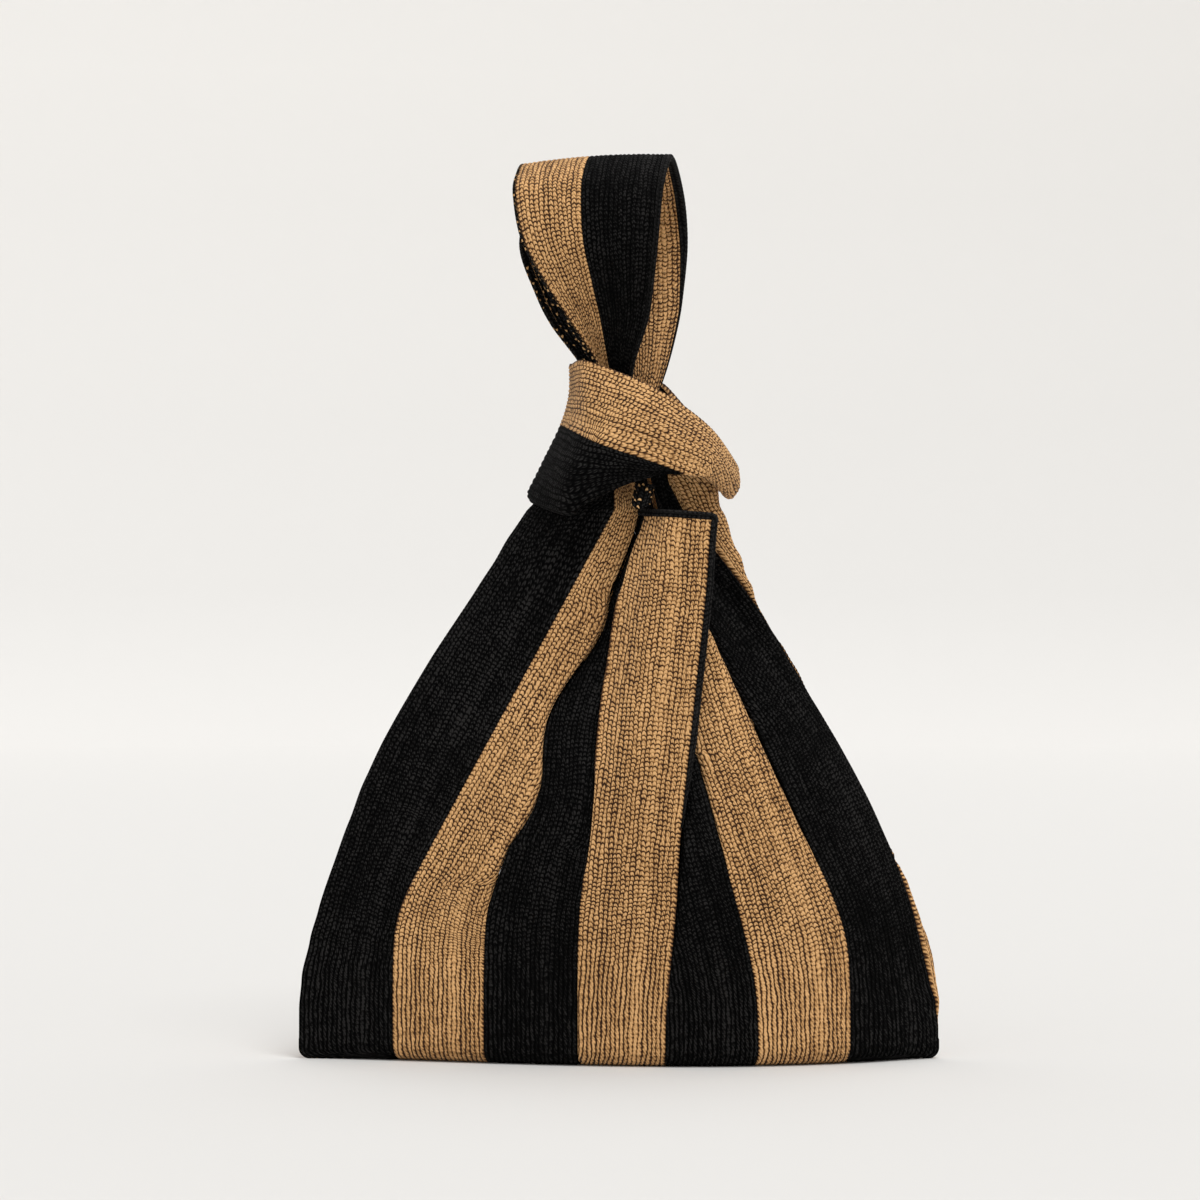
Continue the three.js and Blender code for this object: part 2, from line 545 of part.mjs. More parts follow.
/** The wrist loop and its roots. */
function wristLoop() {
  const group = new THREE.Group();
  const last = LOOP.length - 1;
  const camel = (s) => steps(CHAIN_WIDTH + BAND_CLEAR, loopTurn(s) - BAND_CLEAR, ACROSS_STRIPE);
  const black = (s) => steps(loopTurn(s) + BAND_CLEAR, 1 - ROLL_WIDTH - BAND_CLEAR, ACROSS_STRIPE);
  const chain = () => [0, CHAIN_WIDTH - BAND_CLEAR];
  const roll = () => [1 - ROLL_WIDTH + BAND_CLEAR, 1];
  const arch = steps(LOOP_SPLIT, last - LOOP_SPLIT, LOOP_STEPS);
  const bands = [
    ["loop_camel_face", camel, 0, SKIN, CAMEL],
    ["loop_black_face", black, 0, SKIN, BLACK],
    ["loop_black_lining", camel, CLOTH - SKIN, CLOTH, BLACK],
    ["loop_camel_lining", black, CLOTH - SKIN, CLOTH, CAMEL],
    ["loop_left_chain", chain, 0, CLOTH, CAMEL],
    ["loop_right_roll", roll, -ROLL_PROUD, CLOTH, BLACK],
  ];
  for (const [name, columns, near, far, yarn] of bands) {
    group.add(piece(name, band(loopFace, arch, columns, near, far), yarn));
  }
  const roots = {
    front: [0, LOOP_SPLIT - ROOT_CLEAR],
    back: [last - LOOP_SPLIT + ROOT_CLEAR, last],
  };
  for (const [side, [from, to]] of Object.entries(roots)) {
    const rows = steps(from, to, ROOT_STEPS);
    const left = (s) => steps(0, loopTurn(s) - 2 * BAND_CLEAR, ACROSS_STRIPE);
    const right = (s) => steps(loopTurn(s) + 2 * BAND_CLEAR, 1, ACROSS_STRIPE);
    group.add(piece(`loop_root_${side}_camel`, band(loopFace, rows, left, 0, CLOTH), CAMEL));
    group.add(piece(`loop_root_${side}_black`, band(loopFace, rows, right, 0, CLOTH), BLACK));
  }
  return group;
}

/** The short handle, wound once round the neck. */
function shortHandle() {
  const group = new THREE.Group();
  const count = WRAP.length;
  const ring = steps(0, count, WRAP_STEPS).slice(0, -1);
  const camel = () => steps(0, WRAP_TURN - WRAP_CLEAR, 5);
  group.add(piece("wrap_camel_face", band(wrapFace, ring, camel, 0, SKIN, true), CAMEL));
  group.add(piece("wrap_black_lining", band(wrapFace, ring, camel, CLOTH - SKIN, CLOTH, true), BLACK));
  const lower = steps(BLACK_WRAP_FROM, BLACK_WRAP_TO, BLACK_WRAP_STEPS);
  const black = () => steps(WRAP_TURN + WRAP_CLEAR, WRAP[0].length - 1, 5);
  group.add(piece("wrap_black_face", band(wrapFace, lower, black, 0, SKIN), BLACK));
  group.add(piece("wrap_camel_lining", band(wrapFace, lower, black, CLOTH - SKIN, CLOTH), CAMEL));
  return group;
}

const bag = new THREE.Group();
bag.add(body(), wristLoop(), shortHandle());

export default bag;
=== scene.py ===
"""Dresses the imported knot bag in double-faced knit, stitch by stitch.

The frame is in metres. Sizes in the classes are in millimetres, and become metres where a
mesh is made. X runs to the right, the front faces -Y and Z is up.
"""

import logging
import math
from collections.abc import Callable
from dataclasses import dataclass, field
from enum import Enum

import bpy
import numpy as np
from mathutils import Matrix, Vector


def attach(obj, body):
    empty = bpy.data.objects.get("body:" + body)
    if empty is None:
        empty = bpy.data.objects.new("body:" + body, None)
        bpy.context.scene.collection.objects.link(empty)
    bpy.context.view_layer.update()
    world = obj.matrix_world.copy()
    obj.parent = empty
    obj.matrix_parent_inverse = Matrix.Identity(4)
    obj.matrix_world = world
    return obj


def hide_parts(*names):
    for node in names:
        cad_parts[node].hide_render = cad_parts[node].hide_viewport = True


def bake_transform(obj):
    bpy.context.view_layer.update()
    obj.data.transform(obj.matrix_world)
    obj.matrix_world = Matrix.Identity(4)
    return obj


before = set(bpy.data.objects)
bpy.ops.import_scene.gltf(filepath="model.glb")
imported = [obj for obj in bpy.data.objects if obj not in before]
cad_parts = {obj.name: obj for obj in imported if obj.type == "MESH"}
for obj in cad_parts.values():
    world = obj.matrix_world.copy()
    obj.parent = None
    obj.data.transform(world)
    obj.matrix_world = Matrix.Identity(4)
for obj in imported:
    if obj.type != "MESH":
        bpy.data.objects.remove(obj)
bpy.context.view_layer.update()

MM = 0.001
# A place along a panel that none reaches
NEVER = 1e6
POINTS_PER_WALE = 4
ROWS_PER_COURSE = 2
Array = np.ndarray
Surface = Callable[[Array, Array], Array]
Colour = tuple[float, float, float]
Point = tuple[float, float, float]
Table = tuple[tuple[float, float], ...]
log = logging.getLogger("knot_bag")


# Small numeric helpers


def ease(t: Array) -> Array:
    """Smooth step from 0 to 1."""
    c = np.clip(t, 0.0, 1.0)
    return c * c * (3 - 2 * c)


def mix(a: Array, b: Array, t: Array) -> Array:
    """Straight mix of a and b."""
    return a + (b - a) * t


def unit(v: Array) -> Array:
    """Vectors along the last axis, made one long."""
    return v / np.maximum(np.linalg.norm(v, axis=-1, keepdims=True), 1e-9)


def spline_weights(t: Array) -> list[Array]:
    """Catmull-Rom weights of four neighbouring values at the share t between the middle two."""
    t2 = t * t
    t3 = t2 * t
    return [
        0.5 * (-t + 2 * t2 - t3),
        0.5 * (2 - 5 * t2 + 3 * t3),
        0.5 * (t + 4 * t2 - 3 * t3),
        0.5 * (t3 - t2),
    ]


def through(values: Array, at: Array, closed: bool = False) -> Array:
    """A smooth curve through rows of values.

    Args:
        values: One row for each whole number.
        at: Places on the curve, in any shape.
        closed: Whether the last row joins the first.

    Returns:
        The values at those places, with the shape of at and then that of a row.
    """
    values = np.asarray(values, float)
    count = len(values)
    at = np.asarray(at, float)
    cell = np.floor(at).astype(int)
    if not closed:
        cell = np.clip(cell, 0, count - 2)
    total = 0.0
    for k, weight in enumerate(spline_weights(at - cell)):
        index = cell + k - 1
        index = index % count if closed else np.clip(index, 0, count - 1)
        total = total + values[index] * weight.reshape(weight.shape + (1,) * (values.ndim - 1))
    return total


def table(pairs: Table, at: Array) -> Array:
    """A table of place and value pairs, eased between its places."""
    at = np.asarray(at, float)
    places, values = np.array(pairs, float).T
    cell = np.clip(np.searchsorted(places, at) - 1, 0, len(places) - 2)
    share = (at - places[cell]) / (places[cell + 1] - places[cell])
    return mix(values[cell], values[cell + 1], ease(share))


def bell(x: Array, width: float) -> Array:
    """1 where x is 0, and less with the distance over the width."""
    return np.exp(-((x / width) ** 2))


def arc_length(path: Array) -> Array:
    """Distance along a path of points, from 0 at its first."""
    return np.concatenate([[0.0], np.cumsum(np.linalg.norm(np.diff(path, axis=0), axis=1))])


def points_of(x: Array, y: Array, z: Array) -> Array:
    """Points from their coordinates, which are spread to one shape."""
    return np.stack(np.broadcast_arrays(x, y, z), -1)


def add_object(name: str, data: bpy.types.ID) -> bpy.types.Object:
    """Puts an object with this data in the scene."""
    piece = bpy.data.objects.new(name, data)
    bpy.context.scene.collection.objects.link(piece)
    return piece


# Yarns and their shading


class Face(Enum):
    """The four looks of the double-faced knit, and a lighter copy of the black for hems, folds and rolled
    edges: painted light on their raised edges.
    """

    CAMEL = "camel_face"
    BLACK = "black_face"
    BLACK_INSIDE = "black_inner_face"
    CAMEL_INSIDE = "camel_inner_face"
    LIT_BLACK = "black_painted_light"


@dataclass(frozen=True)
class Yarn:
    """One yarn: linear colours from its gaps to its crests, and its surface. The darkest stops are painted
    shade in the gaps, the lightest painted highlights on the crests, and those between the yarn's own
    colour.
    """

    slot: str
    stops: tuple[tuple[float, Colour], ...]
    roughness: float
    sheen: float
    speckle: float
    gloss: float


# Camel: the low stops are painted shade in the gaps, the top stop a painted highlight on the crests.
CAMEL = Yarn(
    "camel_yarn",
    (
        (0.0, (0.035, 0.013, 0.004)),
        (0.3, (0.14, 0.06, 0.0175)),
        (0.62, (0.385, 0.2, 0.071)),
        (1.0, (0.8, 0.47, 0.205)),
    ),
    roughness=0.86, sheen=0.06, speckle=0.26, gloss=0.15,
)
# Black: the low stops are painted shade in the gaps, the grey top stop a painted sheen highlight on the
# crests.
BLACK = Yarn(
    "black_yarn",
    (
        (0.0, (0.0005, 0.0005, 0.0005)),
        (0.5, (0.0013, 0.0013, 0.0013)),
        (0.8, (0.0042, 0.0041, 0.004)),
        (1.0, (0.022, 0.021, 0.0205)),
    ),
    roughness=0.8, sheen=0.0, speckle=0.3, gloss=0.04,
)
# The black yarn made lighter for the hems, the pleat's fold and the loop's rolled edge: painted light on
# their raised edges.
LIT_BLACK = Yarn(
    "black_yarn",
    (
        (0.0, (0.001, 0.001, 0.001)),
        (0.45, (0.0045, 0.0043, 0.0043)),
        (0.8, (0.011, 0.0105, 0.0103)),
        (1.0, (0.024, 0.0227, 0.0222)),
    ),
    roughness=0.8, sheen=0.0, speckle=0.2, gloss=0.05,
)


class Value:
    """A number socket of a material that Python's operators work on."""

    def __init__(self, shader: "Shader", socket: bpy.types.NodeSocket) -> None:
        """Keeps the socket and the shader that it belongs to."""
        self.shader = shader
        self.socket = socket

    def math(self, operation: str, *others: "Value | float") -> "Value":
        """A Math node on this value and others."""
        inputs = dict(enumerate((self, *others)))
        return self.shader.value("ShaderNodeMath", {"operation": operation}, inputs)

    def __add__(self, other: "Value | float") -> "Value":
        """Sum."""
        return self.math("ADD", other)

    __radd__ = __add__

    def __sub__(self, other: "Value | float") -> "Value":
        """Difference."""
        return self.math("SUBTRACT", other)

    def __rsub__(self, other: float) -> "Value":
        """Difference from a number."""
        return self * -1 + other

    def __mul__(self, other: "Value | float") -> "Value":
        """Product."""
        return self.math("MULTIPLY", other)

    __rmul__ = __mul__

    def __truediv__(self, other: "Value | float") -> "Value":
        """Quotient."""
        return self.math("DIVIDE", other)

    def fraction(self) -> "Value":
        """The part after the point."""
        return self.math("FRACT")

    def whole(self) -> "Value":
        """The whole number below."""
        return self.math("FLOOR")

    def size(self) -> "Value":
        """The absolute value."""
        return self.math("ABSOLUTE")

    def ramp(self, gain: float, least: float) -> "Value":
        """This value times a gain, over a least value."""
        return self * gain + least

    def within(self) -> "Value":
        """This value, kept from 0 to 1."""
        return self.math("MAXIMUM", 0.0).math("MINIMUM", 1.0)

    def bell(self, width: float) -> "Value":
        """1 where this is 0, and less with the distance over the width."""
        return (self * self / (-width * width)).math("EXPONENT")

    def above(self, other: float) -> "Value":
        """1 where this is above the other, else 0."""
        return self.math("GREATER_THAN", other)


class Shader:
    """Builds the nodes of one material."""

    def __init__(self, name: str) -> None:
        """Makes an empty material of that name."""
        self.material = bpy.data.materials.new(name)
        self.material.use_nodes = True
        self.tree = self.material.node_tree
        self.tree.nodes.clear()

    def node(self, kind: str, settings: dict | None = None, inputs: dict | None = None) -> bpy.types.Node:
        """Adds any node.

        Args:
            kind: The node's type.
            settings: Its settings, set first; "stops" are places and colours of a ramp.
            inputs: Values or links of its sockets, by name or number.

        Returns:
            The node.
        """
        node = self.tree.nodes.new(kind)
        for key, setting in (settings or {}).items():
            if key == "stops":
                self._set_stops(node.color_ramp.elements, setting)
            else:
                setattr(node, key, setting)
        for key, value in (inputs or {}).items():
            source = value.socket if isinstance(value, Value) else value
            if isinstance(source, bpy.types.NodeSocket):
                self.tree.links.new(source, node.inputs[key])
            else:
                node.inputs[key].default_value = source
        return node

    @staticmethod
    def _set_stops(elements: bpy.types.ColorRampElements, stops: tuple[tuple[float, Colour], ...]) -> None:
        """Gives a colour ramp its stops."""
        while len(elements) < len(stops):
            elements.new(1.0)
        for element, (place, colour) in zip(elements, stops):
            element.position = place
            element.color = (*colour, 1.0)

    def value(self, kind: str, settings: dict | None = None, inputs: dict | None = None) -> Value:
        """Adds a node and returns its first output as a value."""
        return Value(self, self.node(kind, settings, inputs).outputs[0])

    def parts(self, vector: bpy.types.NodeSocket) -> list[Value]:
        """The three numbers of a vector or colour."""
        outputs = self.node("ShaderNodeSeparateXYZ", inputs={0: vector}).outputs
        return [Value(self, output) for output in outputs]

    def chance(self, x: Value, y: Value | float) -> list[Value]:
        """Three random numbers from 0 to 1 for each pair of whole numbers."""
        pair = self.node("ShaderNodeCombineXYZ", inputs={0: x, 1: y}).outputs[0]
        noise = self.node("ShaderNodeTexWhiteNoise", {"noise_dimensions": "2D"}, {"Vector": pair})
        return self.parts(noise.outputs[1])

    def noise(self, vector: bpy.types.NodeSocket, scale: float, detail: float = 2.0) -> list[Value]:
        """Three smooth random numbers about 0.5."""
        inputs = {"Vector": vector, "Scale": scale, "Detail": detail}
        return self.parts(self.node("ShaderNodeTexNoise", None, inputs).outputs[1])

    def blend(self, share: Value, a: object, b: object) -> bpy.types.NodeSocket:
        """Mixes two colours, each a socket or a colour of four numbers."""
        return self.node("ShaderNodeMix", {"data_type": "RGBA"}, {0: share, 6: a, 7: b}).outputs[2]

    def colour_at(self, stops: tuple[tuple[float, Colour], ...], place: Value) -> bpy.types.NodeSocket:
        """The colour at a place between stops."""
        return self.node("ShaderNodeValToRGB", {"stops": stops}, {0: place}).outputs[0]

    def cover(self, surface: dict) -> bpy.types.Material:
        """Ends the material in one surface with these inputs, and returns it."""
        principled = self.node("ShaderNodeBsdfPrincipled", None, surface)
        self.node("ShaderNodeOutputMaterial", None, {"Surface": principled.outputs[0]})
        return self.material


@dataclass(frozen=True)
class Gauge:
    """The stitches of the knit: sizes in millimetres, and the shape of one in shares of it.

    The courses show less near the floor: from low_rows up to 1 over rows_run from rows_from,
    both in metres. Each wave is a size, its pace over wales and over courses, and its start.
    """

    wale: float = 1.857
    course: float = 1.85
    relief: float = 0.5
    stripe_wales: int = 20
    low_rows: float = 0.15
    rows_from: float = 0.034
    rows_run: float = 0.024
    arch: float = 1.7
    step: float = 0.3
    step_width: float = 0.2
    across_waves: tuple[tuple[float, ...], ...] = ((0.1, 0.83, 0.41, 0.0), (0.08, 1.7, -0.93, 1.3))
    along_waves: tuple[tuple[float, ...], ...] = ((0.14, 0.61, -0.37, 0.0), (0.1, 2.3, 0.19, 0.7))

    def height(self, u: Array, v: Array, rows: Array | float = 1.0) -> Array:
        """Height of the cloth's surface, 0 in the gaps to 1 on the crests.

        Args:
            u: Wale.
            v: Course.
            rows: How much the courses show beside the wales, 0 to 1.

        Returns:
            The heights.
        """
        a = np.abs(u - np.floor(u) - 0.5)
        t = v + self.arch * a * a
        t = t - np.floor(t) - 0.5
        return (1 - 4 * a * a) * (1 - rows * self.step * bell(t, self.step_width))

    def row_strength(self, z: Array) -> Array:
        """How much the courses show at a height in millimetres: little near the floor."""
        rise = np.clip((z * MM - self.rows_from) / self.rows_run, 0, 1)
        return self.low_rows + (1 - self.low_rows) * rise

    def wobble(self, u: Array, v: Array) -> tuple[Array, Array]:
        """Stitches are never quite even: small slow shifts across and along."""
        across, along = (
            sum(size * np.sin(x * u + y * v + start) for size, x, y, start in waves)
            for waves in (self.across_waves, self.along_waves)
        )
        return across, along


GAUGE = Gauge()


@dataclass(frozen=True)
class Drawing:
    """How the shading draws a stitch: places and widths in shares of it, and strengths.

    A chance is a gain and a least strength, and each stitch or wale draws its own between them.
    The dots of the other yarn have their own place and width, and a threshold and a gain.
    """

    phase: float = 0.85
    phase_seed: float = 7.0
    line_seed: float = 3.0
    dot_seed: float = 40.0
    sway_scale: float = 0.8
    sway: tuple[float, float] = (0.35, 0.6)
    side: float = 0.8
    side_rows: float = 0.38
    side_width: float = 0.17
    side_chance: tuple[float, float] = (0.9, 0.55)
    dot: float = 0.5
    dot_place: float = 0.1
    dot_width: float = 0.24
    dot_chance: tuple[float, float] = (1.2, 0.4)
    arc: float = 0.8
    arc_place: float = 0.08
    arc_width: float = 0.16
    arc_middle: float = 0.22
    arc_fade: tuple[float, float] = (0.8, 0.4)
    arc_chance: tuple[float, float] = (1.2, 0.25)
    slant: float = 0.28
    slant_lean: float = 1.6
    slant_chance: tuple[float, float] = (1.2, 0.4)
    other_chance: tuple[float, float] = (2.5, -0.6)
    other_width: float = 0.36
    other_place: float = -0.25
    other_height: float = 0.32
    other_from: float = 0.3
    other_gain: float = 3.0
    middle: float = 0.62
    contrast: float = 0.65
    low_shade: float = 0.08
    fibre: float = 0.6
    fibre_scale: float = 3300.0
    cloud: float = 0.4
    cloud_scale: float = 24.0
    bump: float = 0.55
    bump_depth: float = 0.0004
    bump_fibre: float = 0.5
    sheen_roughness: float = 0.6


DRAWING = Drawing()


class KnitShader:
    """The material of one face of the knit, drawn in stitch coordinates."""

    def __init__(self, face: Face, yarn: Yarn, dots: Yarn | None = None, dot_share: float = 0.0) -> None:
        """Builds the material.

        Args:
            face: Which face of the knit it is.
            yarn: The yarn of most stitches.
            dots: The other face's yarn, where it shows between the stitches.
            dot_share: How much of the other yarn shows in its dots.
        """
        d = DRAWING
        shader = Shader(face.value)
        place = shader.node("ShaderNodeUVMap", {"uv_map": "stitches"}).outputs[0]
        spot = shader.node("ShaderNodeTexCoord").outputs["Object"]
        rise = shader.parts(spot)[2]
        rows = ((rise - GAUGE.rows_from) / GAUGE.rows_run).within()
        rows = rows.ramp(1 - GAUGE.low_rows, GAUGE.low_rows)
        height, tint, dot = self._stitch(shader, place, rows)
        fibre = shader.noise(spot, d.fibre_scale)[0]
        cloud, contrast, _ = shader.noise(spot, d.cloud_scale)
        tone = (height - d.middle) * (contrast + d.contrast) + d.middle
        tone = tone + (tint - 0.5) * yarn.speckle + (fibre - 0.5) * d.fibre + (cloud - 0.5) * d.cloud
        # Painted shade: the tone darkens near the floor, where the courses show less.
        tone = tone + (rows - 1) * d.low_shade
        # The ramp paints shade where the stitch is low and highlights on its crests.
        colour = shader.colour_at(yarn.stops, tone)
        if dots:
            mask = ((dot - d.other_from) * d.other_gain).within() * dot_share
            colour = shader.blend(mask, colour, (*dots.stops[-1][1], 1.0))
        relief = {"Strength": d.bump, "Distance": d.bump_depth, "Height": height + fibre * d.bump_fibre}
        self.material = shader.cover({
            "Base Color": colour,
            "Roughness": yarn.roughness,
            "Specular IOR Level": yarn.gloss,
            "Sheen Weight": yarn.sheen,
            "Sheen Roughness": d.sheen_roughness,
            "Normal": shader.node("ShaderNodeBump", None, relief).outputs[0],
        })

    @staticmethod
    def _stitch(shader: Shader, place: bpy.types.NodeSocket, rows: Value) -> tuple[Value, Value, Value]:
        """Draws one stitch in every cell, none quite like the next.

        Args:
            shader: The material.
            place: Wale and course.
            rows: How much the courses show beside the wales.

        Returns:
            Height of the yarn, a random tint, and a dot in every other cell.
        """
        d = DRAWING
        u, v, _ = shader.parts(place)
        sway = shader.noise(place, d.sway_scale, 0.0)
        u = u + (sway[0] - 0.5) * d.sway[0]
        v = v + (sway[1] - 0.5) * d.sway[1]
        wale, line = u.whole(), (u + 0.5).whole()
        a = u - wale - 0.5
        v = v + shader.chance(wale, d.phase_seed)[0] * d.phase
        course = v + a * a * rows * GAUGE.arch
        cell = course.whole()
        t = course - cell - 0.5
        each, tint, shown = shader.chance(wale, cell)
        strong, twist, _ = shader.chance(line, d.line_seed)
        dotted = shader.chance(line + d.dot_seed, cell)[0]
        near = (a.size() - 0.5).bell(d.side_width)
        side = near * strong.ramp(*d.side_chance) * (1 - rows * d.side_rows) * d.side
        dots = near * (t - d.dot_place).bell(d.dot_width) * dotted.ramp(*d.dot_chance) * d.dot
        arc = (t - d.arc_place).bell(d.arc_width) * a.bell(d.arc_middle).ramp(*d.arc_fade)
        arc = arc * each.ramp(*d.arc_chance) * rows * d.arc
        wave = ((v + a * d.slant_lean) * (2 * math.pi)).math("COSINE").ramp(0.5, 0.5)
        height = 1 - side - dots - arc - wave * twist.ramp(*d.slant_chance) * d.slant
        every_other = ((wale + cell) * 0.5).fraction().above(0.25)
        bright = shown.ramp(*d.other_chance).within()
        dot = every_other * bright * a.bell(d.other_width) * (t - d.other_place).bell(d.other_height)
        return height, tint, dot


class Wardrobe:
    """All the materials of the bag."""

    def __init__(self, black_dots: float = 0.75, camel_dots: float = 0.5) -> None:
        """Builds every face's material.

        Args:
            black_dots: How much camel shows in the dots of the black inner face.
            camel_dots: How much black shows in the dots of the camel inner face.
        """
        yarns_with_painted_light = {
            Face.CAMEL: (CAMEL,),
            Face.BLACK: (BLACK,),
            Face.BLACK_INSIDE: (BLACK, CAMEL, black_dots),
            Face.CAMEL_INSIDE: (CAMEL, BLACK, camel_dots),
            Face.LIT_BLACK: (LIT_BLACK,),
        }
        self.faces = {face: KnitShader(face, *finish).material for face, finish in yarns_with_painted_light.items()}

    @staticmethod
    def pair(camel: bool) -> list[Face]:
        """The outer and the inner face of camel or black cloth."""
        return [Face.CAMEL, Face.BLACK_INSIDE] if camel else [Face.BLACK, Face.CAMEL_INSIDE]

    @staticmethod
    def slot_of(face: Face) -> str:
        """The record's material slot that a face belongs to."""
        return CAMEL.slot if face in (Face.CAMEL, Face.CAMEL_INSIDE) else BLACK.slot

    def dress(self, piece: bpy.types.Object, faces: list[Face]) -> None:
        """Gives a piece its materials in order, and looks up the slot of the first without keeping it."""
        for face in faces:
            piece.data.materials.append(self.faces[face])
        self.slot_of(faces[0])


# Cloth as a mesh


@dataclass
class Quilt:
    """A closed mesh that is put together from grids of points."""

    points: list[Array] = field(default_factory=list)
    stitches: list[Array] = field(default_factory=list)
    polygons: list[list[int]] = field(default_factory=list)
    tones: list[int] = field(default_factory=list)
    count: int = 0

    def add_grid(self, points: Array, u: Array, v: Array) -> Array:
        """Adds a grid of points in millimetres with its stitch coordinates.

        Args:
            points: Rows by columns by three.
            u: Wale of each point.
            v: Course of each point.

        Returns:
            The vertex numbers of the grid.
        """
        rows, columns = points.shape[:2]
        self.points.append(points.reshape(-1, 3))
        self.stitches.append(np.stack([u, v], -1).reshape(-1, 2))
        numbers = np.arange(rows * columns).reshape(rows, columns) + self.count
        self.count += rows * columns
        return numbers

    def add_faces(self, numbers: Array, tones: Array, flip: bool = False, ring: bool = False) -> None:
        """Adds the four-sided faces of a grid.

        Args:
            numbers: The grid's vertex numbers.
            tones: Material index of each column of faces.
            flip: Whether the faces look the other way.
            ring: Whether the last row joins the first.
        """
        if ring:
            numbers = np.vstack([numbers, numbers[:1]])
        a, b = numbers[:-1, :-1], numbers[:-1, 1:]
        c, d = numbers[1:, 1:], numbers[1:, :-1]
        quads = np.stack([a, d, c, b] if flip else [a, b, c, d], -1)
        self.polygons.extend(quads.reshape(-1, 4).tolist())
        self.tones.extend(np.broadcast_to(tones, quads.shape[:2]).reshape(-1).tolist())

    def add_polygon(self, *runs: Array, tone: int = 0) -> None:
        """Adds one face through runs of vertex numbers."""
        self.polygons.append(np.concatenate(runs).tolist())
        self.tones.append(tone)

    def add_tube(self, points: Array, u: Array, v: Array, tones: Array) -> None:
        """Adds a closed tube with a cap at each end.

        Args:
            points: Rings by places round them by three.
            u: Wale of each point.
            v: Course of each point.
            tones: Material index of each column of faces.
        """
        rings = self.add_grid(points, u, v)
        self.add_faces(np.hstack([rings, rings[:, :1]]), tones)
        self.add_polygon(rings[0][::-1])
        self.add_polygon(rings[-1])

    def mesh(self, name: str, smooth: float = 80.0, turn: float = 0.0) -> bpy.types.Object:
        """Makes the object.

        Args:
            name: Name of the object.
            smooth: Angle in degrees above which an edge stays sharp.
            turn: Courses round a ring, so that stitch coordinates don't run back over it.

        Returns:
            The new object.
        """
        data = bpy.data.meshes.new(name)
        data.from_pydata((np.vstack(self.points) * MM).tolist(), [], self.polygons)
        data.polygons.foreach_set("material_index", self.tones)
        flat = np.fromiter((n for polygon in self.polygons for n in polygon), int)
        stitches = np.vstack(self.stitches)[flat]
        if turn:
            sizes = np.array([len(p) for p in self.polygons])
            starts = np.cumsum(sizes) - sizes
            high = np.maximum.reduceat(stitches[:, 1], starts)
            low = np.minimum.reduceat(stitches[:, 1], starts)
            over = np.repeat(high - low > turn / 2, sizes) & (stitches[:, 1] < turn / 2)
            stitches[over, 1] += turn
        layer = data.uv_layers.new(name="stitches")
        layer.data.foreach_set("uv", stitches.astype(np.float32).reshape(-1))
        data.shade_smooth()
        data.set_sharp_from_angle(angle=math.radians(smooth))
        data.update()
        return add_object(name, data)


